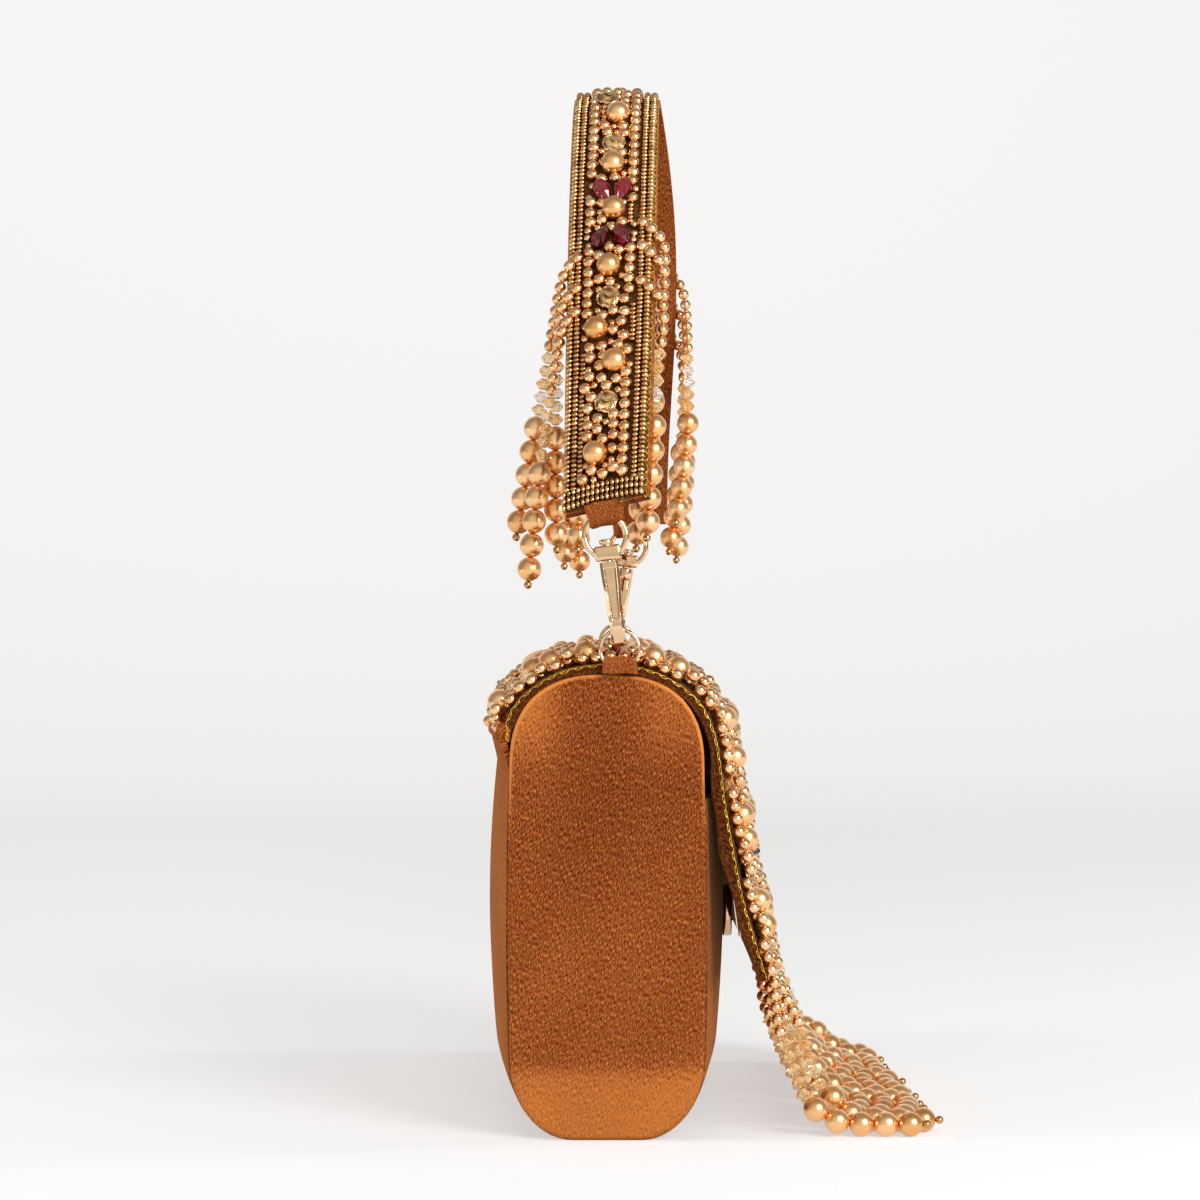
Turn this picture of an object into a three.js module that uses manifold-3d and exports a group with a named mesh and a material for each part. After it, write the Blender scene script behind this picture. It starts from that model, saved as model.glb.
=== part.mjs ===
// A satin evening purse with a beaded flap, a bead fringe and a beaded strap.
// Millimetres, +Z up. X runs along the bag, the front faces -Y, and the base rests on Z = 0.
import * as THREE from 'three';
import { mergeVertices } from 'three/addons/utils/BufferGeometryUtils.js';
import Module from 'manifold-3d';

const gap = 0.3;

// Bag body
const bagHalfLength = 100;
const endThickness = 2;
const wallThickness = 2;
const halfDepth = 31;
const baseHalfWidth = 11;
const cornerRise = 26;
const shoulderHeight = 118;
const crownHeight = 148;
const crownPower = 2.5;
const sideSwell = 0.6;
const middleBulge = 8.7;
const bulgeFoot = 20;
const bulgeSpan = 180;
const bulgePower = 0.7;
const backHemHeight = 131.5;
const backHemFlare = 3.4;
const backHemBand = 4.5;
const backHemFold = 0.85;
const frontWallTop = 108;

// Flap
const flapHalfWidth = 97.5;
const flapThickness = 1.2;
const liningThickness = 1;
const liningWave = 1.4;
const liningWaveStart = 0.45;
const flapBulge = 0.13;
const flapBulgeReach = 36;
const flapTrim = 0.002;
const flapFreeBelow = 45;
const flapHeldAbove = 80;
const fieldInset = 3;
const fieldStart = 0.05;
const fieldEnd = 0.965;
const fieldThickness = 3.4;
// Outer face of the flap at the bag's ends, from the root inside the back hem to the front hem.
const flapRows = [
  { y: 31.4, z: 126 },
  { y: 31.6, z: 132.4 },
  { y: 27.8, z: 139.6 },
  { y: 15.6, z: 148 },
  { y: 0, z: 151 },
  { y: -15.4, z: 148.4 },
  { y: -28.6, z: 139.6 },
  { y: -34, z: 128.7 },
  { y: -37.6, z: 104.8 },
  { y: -43.2, z: 75.8 },
  { y: -51, z: 50 },
];

// Main pearls and strands
const pearlRadius = 4;
const beadRadius = 2;
const flapPearlColumns = 6;
const flapPearlRows = 5;
const strandCount = 19;
const strandSpan = 184;
const hemHeaderRadius = 1.7;
// One strand of the flap's fringe: beads and crystals hang from the hem, pearls lie on the floor.
const strandRows = [
  { y: -53.2, z: 52, radius: 2 },
  { y: -55.4, z: 36, radius: 2 },
  { y: -63.4, z: 14, radius: 2.2 },
  { y: -64, z: 13.2, radius: 4 },
  { y: -70.6, z: 6.8, radius: 4 },
  { y: -80, z: 4, radius: 4 },
  { y: -104, z: 4, radius: 4 },
];
const strandReach = 3.5;
const strandReachTurn = 1.9;
const strandSway = 0.6;
const strandSwayTurn = 2.6;
const strandSlant = 34;

// Magnetic snap
const snapRadius = 9;
const snapHeight = 63.5;
const socketThickness = 3;
const plateThickness = 1.4;

// Hardware at each end, with heights above the centre of the bag's ring
const ringX = 100.4;
const ringY = -4.1;
const ringZ = 156.1;
const ringRadius = 6.2;
const ringWire = 0.65;
const tabHalfWidth = 5.7;
const tabHalfThickness = 2.2;
const tabBottom = 148.3;
const tabTop = 153.8;
const hookLean = THREE.MathUtils.degToRad(7.3);
const hookHalfWidth = 2.3;
const hookHalfThickness = 1.4;
const hookChamfer = 0.8;
const hookRows = [
  { x: 0, z: 25.4 },
  { x: 1.6, z: 22.6 },
  { x: 3.3, z: 18.5 },
  { x: 3.6, z: 12 },
  { x: 3.5, z: 6 },
  { x: 0, z: 2.1 },
  { x: -3.3, z: 5.2 },
  { x: -3.2, z: 8.4 },
];
const barrelRadius = 2.6;
const barrelBottom = 24;
const barrelTop = 27.9;
const stemRadius = 1.4;
const stemTop = 33.9;
const rivetRadius = 2.3;
const rivetTop = 35.2;
const eyeHeight = 36.1;
const eyeRadius = 6.6;
const eyeWire = 1;
const eyeBase = { halfX: 2.2, halfY: 4.25, bottom: 28.3, top: 33.2 };
const eyeBore = stemRadius + 0.35;
const gateX = -3.1;
const gateHalfWidth = 1.7;
const gateHalfThickness = 0.9;
const gateBottom = 9.1;
const gateTop = 23.5;

// Strap
const strapApex = 346;
const strapEnd = 201.6;
const strapHalfSpan = 101;
const strapCrown = 80;
const strapHalfWidth = 14.75;
const strapThickness = 2.4;
const strapTwist = THREE.MathUtils.degToRad(26);
const strapTwistPower = 1.5;
const strapYaw = 4.6;
const strapBow = 4.5;
const strapEase = 0.35;
const strapEdgeRise = 1.6;
const strapFieldRise = 3.6;
const strapRopeShare = 0.6;
const strapFieldInset = 1;
const strapFieldTrim = 0.006;
// Main pearls of each half: distance along the strap from its end, and across it towards the front.
const strapPearls = [
  { along: 17.5, across: -2.2 },
  { along: 51.2, across: 3.3 },
  { along: 64.7, across: -3.3 },
  { along: 89.2, across: 0 },
  { along: 112.6, across: 1 },
  { along: 132.1, across: 0 },
  { along: 156.2, across: 1 },
];
const loopHalfWidth = 6.2;
const loopHalfThickness = 2.3;
const loopBottom = 195.2;
const strapHeaderRadius = 2.2;
// Strands at the strap's edges: where each one starts along the bag, how far its tip stands out
// from the strap's edge, how far it bows out on the way, and how high its tip is.
const strapFringes = [
  {
    name: 'strap_fringe_left_back', half: -1, side: 1, strands: [
      { start: 60, out: 15, bow: 0, tip: 191 },
      { start: 66, out: 1, bow: 1, tip: 186 },
      { start: 70.5, out: 10.5, bow: 1, tip: 176 },
    ],
  },
  {
    name: 'strap_fringe_left_front', half: -1, side: -1, strands: [
      { start: 54, out: -7, bow: 0.5, tip: 198 },
      { start: 59, out: -9, bow: 0.5, tip: 187 },
      { start: 66, out: -5, bow: 0, tip: 192 },
    ],
  },
  {
    name: 'strap_fringe_right_front', half: 1, side: -1, strands: [
      { start: 56, out: -3, bow: 3.5, tip: 198 },
      { start: 62, out: -5, bow: 2.5, tip: 189 },
      { start: 68, out: -2, bow: 2.5, tip: 184 },
    ],
  },
  {
    name: 'strap_fringe_right_back', half: 1, side: 1, strands: [
      { start: 57, out: 4, bow: 1, tip: 190 },
      { start: 63, out: 9, bow: 1, tip: 184 },
      { start: 69, out: 3, bow: 1, tip: 180 },
    ],
  },
];
// One hanging strand: share of its length from the strap, and its radius there.
const hangingRows = [
  { share: 0, radius: 2 },
  { share: 0.28, radius: 2 },
  { share: 0.57, radius: 2.2 },
  { share: 0.585, radius: 4 },
  { share: 0.8, radius: 4 },
  { share: 1, radius: 4 },
];

// How finely the solids are faceted
const facets = {
  wallColumns: 6,
  clothColumns: 4,
  clothRows: 20,
  fieldRows: 18,
  strapColumns: 2,
  strapRows: 26,
  strand: 7,
  wire: 6,
  ring: 16,
  rod: 10,
  barrel: 12,
  pearl: 10,
  pearlRings: 3,
  disc: 20,
  hookSteps: 13,
  headerSteps: 4,
  corner: 6,
  side: 4,
  crown: 8,
};

const wasm = await Module();
wasm.setup();

const purse = new THREE.Group();

const finishes = {
  satin: { color: 0xa55a23, roughness: 0.5, metalness: 0 },
  lining: { color: 0x8a4719, roughness: 0.55, metalness: 0 },
  beads: { color: 0xd2a06c, roughness: 0.3, metalness: 0.7 },
  gold: { color: 0xe1c8a0, roughness: 0.15, metalness: 1 },
};

function addPiece(name, geometry, finish, parent = purse) {
  const mesh = new THREE.Mesh(geometry, new THREE.MeshStandardMaterial(finishes[finish]));
  mesh.name = name;
  parent.add(mesh);
  return mesh;
}

// Joining and cutting

function toSolid(geometry) {
  const bare = geometry.clone();
  bare.deleteAttribute('normal');
  bare.deleteAttribute('uv');
  const merged = mergeVertices(bare, 1e-4);
  const vertProperties = new Float32Array(merged.attributes.position.array);
  const triVerts = new Uint32Array(merged.index.array);
  return new wasm.Manifold(new wasm.Mesh({ numProp: 3, vertProperties, triVerts }));
}

function toGeometry(solid) {
  const mesh = solid.getMesh();
  const geometry = new THREE.BufferGeometry();
  geometry.setAttribute('position', new THREE.BufferAttribute(mesh.vertProperties, 3));
  geometry.setIndex(new THREE.BufferAttribute(mesh.triVerts, 1));
  geometry.computeVertexNormals();
  return geometry;
}

function join(geometries) {
  let solid = toSolid(geometries[0]);
  for (const geometry of geometries.slice(1)) {
    solid = solid.add(toSolid(geometry));
  }
  return toGeometry(solid);
}

function cut(geometry, tool) {
  return toGeometry(toSolid(geometry).subtract(toSolid(tool)));
}

// Shared shapes

function smooth(from, to, value) {
  return THREE.MathUtils.smoothstep(value, from, to);
}

function normalAt(surface, u, v) {
  const step = 1e-3;
  const along = surface(u + step, v).sub(surface(u - step, v));
  const across = surface(u, v + step).sub(surface(u, v - step));
  return along.cross(across).normalize();
}

function offsetPoint(surface, u, v, offset) {
  return surface(u, v).addScaledVector(normalAt(surface, u, v), offset);
}

// A closed sheet between two offsets of a surface, for cloth walls and bead layers.
function sheetSolid(surface, low, high, columns, rows) {
  const width = columns + 1;
  const layer = width * (rows + 1);
  const points = [];
  for (const offset of [low, high]) {
    for (let row = 0; row <= rows; row += 1) {
      for (let column = 0; column <= columns; column += 1) {
        const u = column / columns;
        const v = row / rows;
        points.push(offsetPoint(surface, u, v, offset(u, v)));
      }
    }
  }
  const index = [];
  const quad = (a, b, c, d) => index.push(a, b, c, a, c, d);
  for (let row = 0; row < rows; row += 1) {
    for (let column = 0; column < columns; column += 1) {
      const corner = row * width + column;
      const top = corner + layer;
      quad(top, top + 1, top + 1 + width, top + width);
      quad(corner, corner + width, corner + 1 + width, corner + 1);
    }
  }
  for (let column = 0; column < columns; column += 1) {
    const last = rows * width + column;
    quad(column, column + 1, column + 1 + layer, column + layer);
    quad(last + 1, last, last + layer, last + 1 + layer);
  }
  for (let row = 0; row < rows; row += 1) {
    const first = row * width;
    const last = first + columns;
    quad(first + width, first, first + layer, first + width + layer);
    quad(last, last + width, last + width + layer, last + layer);
  }
  const geometry = new THREE.BufferGeometry().setFromPoints(points);
  geometry.setIndex(index);
  geometry.computeVertexNormals();
  return geometry;
}

function roundSection(radius, sides) {
  const corners = [];
  for (let side = 0; side < sides; side += 1) {
    const angle = (2 * Math.PI * (side + 0.5)) / sides;
    corners.push(new THREE.Vector2(radius * Math.cos(angle), radius * Math.sin(angle)));
  }
  return new THREE.Shape(corners);
}

function tubeAlong(points, section, steps) {
  const extrudePath = points.length > 2
    ? new THREE.CatmullRomCurve3(points)
    : new THREE.LineCurve3(points[0], points[1]);
  return new THREE.ExtrudeGeometry(section, { extrudePath, steps, bevelEnabled: false });
}

function uprightCylinder(radius, bottom, top, sides) {
  const geometry = new THREE.CylinderGeometry(radius, radius, top - bottom, sides);
  geometry.rotateX(Math.PI / 2);
  geometry.translate(0, 0, (bottom + top) / 2);
  return geometry;
}

function torus(radius, wire) {
  const geometry = new THREE.TorusGeometry(radius, wire, facets.wire, facets.ring);
  geometry.rotateY(Math.PI / 2);
  return geometry;
}

// A pearl whose poles stand along the surface that it is sewn to.
function pearlOn(surface, u, v) {
  const geometry = new THREE.SphereGeometry(pearlRadius, facets.pearl, facets.pearlRings);
  const turn = new THREE.Quaternion();
  turn.setFromUnitVectors(new THREE.Vector3(0, 1, 0), normalAt(surface, u, v));
  geometry.applyQuaternion(turn);
  const center = offsetPoint(surface, u, v, pearlRadius + gap);
  geometry.translate(center.x, center.y, center.z);
  return geometry;
}

// A strand of beads as a tube with its own radius at each point.
function strandTube(points, radii) {
  const sides = facets.strand;
  const rings = points.map((point, index) => {
    const before = points[Math.max(0, index - 1)];
    const after = points[Math.min(points.length - 1, index + 1)];
    const along = after.clone().sub(before).normalize();
    const first = new THREE.Vector3(1, 0, 0).addScaledVector(along, -along.x).normalize();
    const second = new THREE.Vector3().crossVectors(along, first);
    return Array.from({ length: sides }, (_, side) => {
      const angle = (2 * Math.PI * (side + 0.5)) / sides;
      const spoke = first.clone().multiplyScalar(Math.cos(angle)).addScaledVector(second, Math.sin(angle));
      return point.clone().addScaledVector(spoke, radii[index]);
    });
  });
  const index = [];
  for (let ring = 0; ring < rings.length - 1; ring += 1) {
    for (let side = 0; side < sides; side += 1) {
      const a = ring * sides + side;
      const b = ring * sides + ((side + 1) % sides);
      index.push(a, b, b + sides, a, b + sides, a + sides);
    }
  }
  const last = (rings.length - 1) * sides;
  for (let side = 1; side < sides - 1; side += 1) {
    index.push(0, side + 1, side);
    index.push(last, last + side, last + side + 1);
  }
  const geometry = new THREE.BufferGeometry().setFromPoints(rings.flat());
  geometry.setIndex(index);
  geometry.computeVertexNormals();
  return geometry;
}

// Bag body

function sideDepth(z) {
  const rise = (z - cornerRise) / (shoulderHeight - cornerRise);
  return halfDepth + sideSwell * Math.sin(Math.PI * THREE.MathUtils.clamp(rise, 0, 1));
}

function bulgeAt(x, z) {
  const lift = Math.sin((Math.PI * (z + bulgeFoot)) / bulgeSpan) ** bulgePower;
  return middleBulge * lift * (1 - (x / bagHalfLength) ** 2);
}

// Half of the end's outline from the middle of the base up to a given height.
function outlineHalf(topHeight) {
  const points = [new THREE.Vector2(0, 0)];
  const cornerSteps = facets.corner;
  for (let step = 0; step <= cornerSteps; step += 1) {
    const angle = (Math.PI / 2) * (step / cornerSteps);
    const y = baseHalfWidth + (halfDepth - baseHalfWidth) * Math.sin(angle);
    points.push(new THREE.Vector2(y, cornerRise * (1 - Math.cos(angle))));
  }
  const sideSteps = facets.side;
  const sideTop = Math.min(topHeight, shoulderHeight);
  for (let step = 1; step <= sideSteps; step += 1) {
    const z = cornerRise + ((sideTop - cornerRise) * step) / sideSteps;
    points.push(new THREE.Vector2(sideDepth(z), z));
  }
  const crownSteps = facets.crown;
  for (let step = 1; step <= crownSteps && topHeight > shoulderHeight; step += 1) {
    const angle = (Math.PI / 2) * (step / crownSteps);
    const y = halfDepth * Math.cos(angle) ** (2 / crownPower);
    const rise = (crownHeight - shoulderHeight) * Math.sin(angle) ** (2 / crownPower);
    if (shoulderHeight + rise <= topHeight) {
      points.push(new THREE.Vector2(y, shoulderHeight + rise));
    }
  }
  return points;
}

// The wall's path from the back hem, down the back, under the base and up the front.
const wallPath = (() => {
  const back = outlineHalf(shoulderHeight);
  back.push(new THREE.Vector2(halfDepth + backHemFlare * backHemFold, backHemHeight - backHemBand));
  back.push(new THREE.Vector2(halfDepth + backHemFlare, backHemHeight));
  const front = outlineHalf(frontWallTop);
  const points = back.reverse().map((p) => new THREE.Vector3(0, p.x, p.y));
  for (const p of front.slice(1)) {
    points.push(new THREE.Vector3(0, -p.x, p.y));
  }
  return points;
})();

function wallSurface(u, v) {
  const x = (bagHalfLength - endThickness - gap) * (2 * u - 1);
  const place = THREE.MathUtils.clamp(v, 0, 1) * (wallPath.length - 1);
  const below = Math.min(Math.floor(place), wallPath.length - 2);
  const point = wallPath[below].clone().lerp(wallPath[below + 1], place - below);
  const share = point.y / sideDepth(point.z);
  point.y += bulgeAt(x, point.z) * THREE.MathUtils.clamp(share, -1, 1);
  point.x = x;
  return point;
}

const wallInside = () => -wallThickness;
const faceItself = () => 0;
const wallRows = wallPath.length - 1;
const wallSheet = sheetSolid(wallSurface, wallInside, faceItself, facets.wallColumns, wallRows);
addPiece('body_shell', wallSheet, 'satin');

function endPanel() {
  const half = outlineHalf(crownHeight);
  const front = half.map((p) => new THREE.Vector2(-p.x, p.y)).reverse();
  const shape = new THREE.Shape([...half, ...front.slice(1, -1)]);
  const geometry = new THREE.ExtrudeGeometry(shape, { depth: endThickness, bevelEnabled: false });
  geometry.rotateX(Math.PI / 2);
  geometry.rotateZ(Math.PI / 2);
  return geometry;
}

addPiece('side_panel_left', endPanel(), 'satin').position.x = -bagHalfLength;
addPiece('side_panel_right', endPanel(), 'satin').position.x = bagHalfLength - endThickness;

// Flap, its lining and its beads

const flapCurve = new THREE.CatmullRomCurve3(flapRows.map((row) => new THREE.Vector3(0, row.y, row.z)));

function flapSurfaceWithin(halfWidth, from, to) {
  return (u, v) => {
    const x = halfWidth * (1 - 2 * u);
    const share = THREE.MathUtils.clamp(from + (to - from) * v, 0, 1);
    const point = flapCurve.getPointAt(share);
    const hold = smooth(flapFreeBelow, flapHeldAbove, point.z) * (1 - (x / bagHalfLength) ** 2);
    point.y += flapBulge * hold * Math.max(point.y, -flapBulgeReach);
    point.x = x;
    return point;
  };
}

const flapSurface = flapSurfaceWithin(flapHalfWidth, flapTrim, 1 - flapTrim);
const flapInside = () => -flapThickness;
const flapSheet = sheetSolid(flapSurface, flapInside, faceItself, facets.clothColumns, facets.clothRows);
addPiece('flap', flapSheet, 'satin');

function liningTop(u, v) {
  const nearEnd = (2 * u - 1) ** 4;
  const wave = Math.sin(Math.PI * smooth(liningWaveStart, 1, v)) ** 2;
  return -flapThickness - gap - liningWave * wave * nearEnd;
}

const liningBottom = (u, v) => liningTop(u, v) - liningThickness;
const liningSheet = sheetSolid(flapSurface, liningBottom, liningTop, facets.clothColumns, facets.clothRows);
addPiece('flap_lining', liningSheet, 'lining');

const fieldSurface = flapSurfaceWithin(flapHalfWidth - fieldInset, fieldStart, fieldEnd);
const fieldUnderside = () => gap;
const fieldTop = () => fieldThickness;
const flapField = [sheetSolid(fieldSurface, fieldUnderside, fieldTop, facets.clothColumns, facets.fieldRows)];
for (let row = 0; row < flapPearlRows; row += 1) {
  const shift = row % 2 === 0 ? 0.5 : 1;
  for (let column = 0; column < flapPearlColumns - (row % 2); column += 1) {
    const u = (column + shift) / flapPearlColumns;
    const v = (row + 0.5) / flapPearlRows;
    flapField.push(pearlOn(fieldSurface, u, v));
  }
}
addPiece('flap_bead_field', join(flapField), 'beads');

const hemEnds = [-1, 1].map((end) => {
  return new THREE.Vector3((end * strandSpan) / 2 + end * beadRadius, strandRows[0].y, strandRows[0].z);
});
const fringe = [tubeAlong(hemEnds, roundSection(hemHeaderRadius, facets.strand), 1)];
for (let strand = 0; strand < strandCount; strand += 1) {
  const x = strandSpan * (strand / (strandCount - 1) - 0.5);
  const reach = strandReach * Math.sin(strandReachTurn * strand);
  const sway = strandSway * Math.sin(strandSwayTurn * strand);
  // The strands fan out: the further one hangs from the left end, the more its pearls lean that way.
  const slant = strandSlant * (strand / (strandCount - 1));
  const points = strandRows.map((row, index) => {
    const share = index / (strandRows.length - 1);
    return new THREE.Vector3(x + sway * share - slant * share ** 2, row.y - reach * share, row.z);
  });
  fringe.push(strandTube(points, strandRows.map((row) => row.radius)));
}
addPiece('flap_fringe', join(fringe), 'beads');

// Magnetic snap

function frontDisc(thickness) {
  return new THREE.CylinderGeometry(snapRadius, snapRadius, thickness, facets.disc);
}

const wallFront = -(sideDepth(snapHeight) + bulgeAt(0, snapHeight));
const socketCenter = wallFront - gap - socketThickness / 2;
addPiece('snap_socket', frontDisc(socketThickness), 'gold').position.set(0, socketCenter, snapHeight);

// The plate lies on the lining's inner face, opposite the socket.
const plateDepth = flapThickness + liningThickness + 2 * gap + plateThickness / 2;
const plateShare = (() => {
  let share = 1;
  while (flapSurface(0.5, share).z < snapHeight) {
    share -= 0.002;
  }
  return share;
})();
const plate = addPiece('snap_plate', frontDisc(plateThickness), 'gold');
plate.position.copy(offsetPoint(flapSurface, 0.5, plateShare, -plateDepth));
plate.quaternion.setFromUnitVectors(new THREE.Vector3(0, -1, 0), normalAt(flapSurface, 0.5, plateShare));

// Strap

function strapPoint(x) {
  const fall = strapApex - strapEnd + strapCrown;
  const slope = (fall ** 2 - strapCrown ** 2) / strapHalfSpan ** 2;
  const z = strapApex + strapCrown - Math.sqrt(strapCrown ** 2 + slope * x ** 2);
  const bow = strapBow * Math.sin(Math.PI * Math.max(0, x / strapHalfSpan)) ** 2;
  return new THREE.Vector3(x, ringY - strapYaw * (x / strapHalfSpan) - bow, z);
}

// Across the strap from back to front (u), and along it from the left end to the right (v).
function strapSurfaceWithin(halfWidth, from, to) {
  return (u, v) => {
    const turn = Math.PI * (from + (to - from) * v - 0.5);
    const x = strapHalfSpan * (strapEase * Math.sin(turn) + ((1 - strapEase) * turn) / (Math.PI / 2));
    const center = strapPoint(x);
    const tangent = strapPoint(x + 0.1).sub(strapPoint(x - 0.1)).normalize();
    const across = new THREE.Vector3(0, 1, 0);
    const inward = new THREE.Vector3().crossVectors(across, tangent).normalize();
    const twist = strapTwist * Math.max(0, -x / strapHalfSpan) ** strapTwistPower;
    const width = across.multiplyScalar(Math.cos(twist)).addScaledVector(inward, Math.sin(twist));
    return center.addScaledVector(width, halfWidth * (1 - 2 * u));
  };
}

const strapSurface = strapSurfaceWithin(strapHalfWidth, 0, 1);
const strapInside = () => -strapThickness;
const strapSheet = sheetSolid(strapSurface, strapInside, faceItself, facets.strapColumns, facets.strapRows);
addPiece('strap_band', strapSheet, 'satin');

const strapFieldHalf = strapHalfWidth - strapFieldInset;
const strapFieldSurface = strapSurfaceWithin(strapFieldHalf, strapFieldTrim, 1 - strapFieldTrim);
const strapFieldTop = (u) => (Math.abs(2 * u - 1) > strapRopeShare ? strapEdgeRise : strapFieldRise);
const strapField = [
  sheetSolid(strapFieldSurface, fieldUnderside, strapFieldTop, facets.clothColumns, facets.strapRows),
];

// Share of the strap's run that lies at a distance along its middle line.
function strapShareAt(along) {
  const steps = 2000;
  let length = 0;
  let share = 0;
  let before = strapFieldSurface(0.5, 0);
  while (length < along && share < 1) {
    share += 1 / steps;
    const point = strapFieldSurface(0.5, share);
    length += point.distanceTo(before);
    before = point;
  }
  return share;
}

for (const row of strapPearls) {
  const u = 0.5 + row.across / (2 * strapFieldHalf);
  const share = strapShareAt(row.along);
  strapField.push(pearlOn(strapFieldSurface, u, share));
  strapField.push(pearlOn(strapFieldSurface, u, 1 - share));
}
addPiece('strap_bead_field', join(strapField), 'beads');

// The strap's strands hang beside its edges, each cluster from a short header along the edge.

function strapEdge(x, side, beyond) {
  const surface = strapSurfaceWithin(strapHalfWidth + beyond, 0, 1);
  const edge = (1 - side) / 2;
  let low = 0;
  let high = 1;
  for (let step = 0; step < 30; step += 1) {
    const middle = (low + high) / 2;
    const before = surface(0.5, middle).x < x;
    low = before ? middle : low;
    high = before ? high : middle;
  }
  return offsetPoint(surface, edge, low, -strapThickness / 2);
}

for (const cluster of strapFringes) {
  const edgeAt = (x) => strapEdge(cluster.half * x, cluster.side, gap + strapHeaderRadius);
  const starts = cluster.strands.map((strand) => strand.start);
  const first = Math.min(...starts) - strapHeaderRadius;
  const last = Math.max(...starts) + strapHeaderRadius;
  const header = [first, (first + last) / 2, last].map(edgeAt);
  const tubes = [tubeAlong(header, roundSection(strapHeaderRadius, facets.strand), facets.headerSteps)];
  for (const strand of cluster.strands) {
    const start = edgeAt(strand.start);
    const points = hangingRows.map(({ share }) => {
      const aside = strand.out * share + strand.bow * Math.sin(Math.PI * share);
      const z = start.z + (strand.tip - start.z) * share;
      return new THREE.Vector3(start.x, start.y + cluster.side * aside, z);
    });
    tubes.push(strandTube(points, hangingRows.map(({ radius }) => radius)));
  }
  addPiece(cluster.name, join(tubes), 'beads');
}

// Tabs, rings, hooks and eyes, made for an end that faces +X

function satinTab() {
  const block = new THREE.BoxGeometry(2 * tabHalfThickness, 2 * tabHalfWidth, tabTop - tabBottom);
  block.translate(0, 0, (tabTop + tabBottom) / 2 - ringZ);
  return cut(block, torus(ringRadius, ringWire + gap));
}

function hookSection() {
  const w = hookHalfWidth;
  const t = hookHalfThickness;
  const c = hookChamfer;
  const corners = [
    [w - c, -t], [w, c - t], [w, t - c], [w - c, t],
    [c - w, t], [-w, t - c], [-w, c - t], [c - w, -t],
  ];
  return new THREE.Shape(corners.map(([x, y]) => new THREE.Vector2(x, y)));
}

function snapHook() {
  const route = hookRows.map((row) => new THREE.Vector3(row.x, 0, row.z));
  const arm = tubeAlong(route, hookSection(), facets.hookSteps);
  const barrel = uprightCylinder(barrelRadius, barrelBottom, barrelTop, facets.barrel);
  const stem = uprightCylinder(stemRadius, barrelTop - 1, stemTop, facets.rod);
  const rivet = uprightCylinder(rivetRadius, stemTop - gap, rivetTop, facets.barrel);
  return join([arm, barrel, stem, rivet]);
}

function hookGate() {
  const lower = new THREE.Vector3(gateX, 0, gateBottom);
  const upper = new THREE.Vector3(gateX, 0, gateTop);
  const section = new THREE.Shape([
    new THREE.Vector2(-gateHalfWidth, -gateHalfThickness),
    new THREE.Vector2(gateHalfWidth, -gateHalfThickness),
    new THREE.Vector2(gateHalfWidth, gateHalfThickness),
    new THREE.Vector2(-gateHalfWidth, gateHalfThickness),
  ]);
  return tubeAlong([lower, upper], section, 1);
}

function swivelEye() {
  const loop = torus(eyeRadius, eyeWire);
  loop.translate(0, 0, eyeHeight);
  const base = new THREE.BoxGeometry(2 * eyeBase.halfX, 2 * eyeBase.halfY, eyeBase.top - eyeBase.bottom);
  base.translate(0, 0, (eyeBase.top + eyeBase.bottom) / 2);
  const bore = uprightCylinder(eyeBore, eyeBase.bottom - 1, eyeBase.top + 1, facets.rod);
  return cut(join([loop, base]), bore);
}

// The satin loop at the strap's end fills the space from under the eye's wire to the strap.
function strapLoop(eyeY, eyeZ) {
  const slope = strapPoint(-strapHalfSpan + 0.1).sub(strapPoint(-strapHalfSpan)).normalize();
  const topAt = (x) => strapEnd - 2 * gap - ((x - strapHalfSpan) * -slope.x) / slope.z;
  const outer = ringX + loopHalfThickness;
  const inner = ringX - loopHalfThickness;
  const shape = new THREE.Shape([
    new THREE.Vector2(inner, loopBottom),
    new THREE.Vector2(outer, loopBottom),
    new THREE.Vector2(outer, topAt(outer)),
    new THREE.Vector2(inner, topAt(inner)),
  ]);
  const block = new THREE.ExtrudeGeometry(shape, { depth: 2 * loopHalfWidth, bevelEnabled: false });
  block.rotateX(Math.PI / 2);
  block.translate(0, eyeY + loopHalfWidth, 0);
  const tunnel = torus(eyeRadius, eyeWire + gap);
  tunnel.translate(ringX, eyeY, eyeZ);
  return cut(block, tunnel);
}

for (const end of [{ name: 'left', facing: -1 }, { name: 'right', facing: 1 }]) {
  const upright = new THREE.Group();
  upright.position.set(end.facing * ringX, ringY, ringZ);
  purse.add(upright);
  addPiece(`ring_tab_${end.name}`, satinTab(), 'satin', upright);
  addPiece(`bag_ring_${end.name}`, torus(ringRadius, ringWire), 'gold', upright);

  const leaning = new THREE.Group();
  leaning.rotation.x = end.facing * hookLean;
  upright.add(leaning);
  const outward = new THREE.Group();
  outward.rotation.z = end.facing > 0 ? 0 : Math.PI;
  leaning.add(outward);
  addPiece(`snap_hook_${end.name}`, snapHook(), 'gold', outward);
  addPiece(`hook_gate_${end.name}`, hookGate(), 'gold', outward);
  addPiece(`swivel_eye_${end.name}`, swivelEye(), 'gold', outward);

  const eyeY = ringY - end.facing * eyeHeight * Math.sin(hookLean);
  const eyeZ = ringZ + eyeHeight * Math.cos(hookLean);
  const facingOut = new THREE.Group();
  facingOut.rotation.z = end.facing > 0 ? 0 : Math.PI;
  purse.add(facingOut);
  addPiece(`strap_loop_${end.name}`, strapLoop(end.facing * eyeY, eyeZ), 'satin', facingOut);
}

export default purse;
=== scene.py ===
import math
import random
import bpy
import numpy as np
from mathutils import Matrix, Vector, noise


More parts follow.
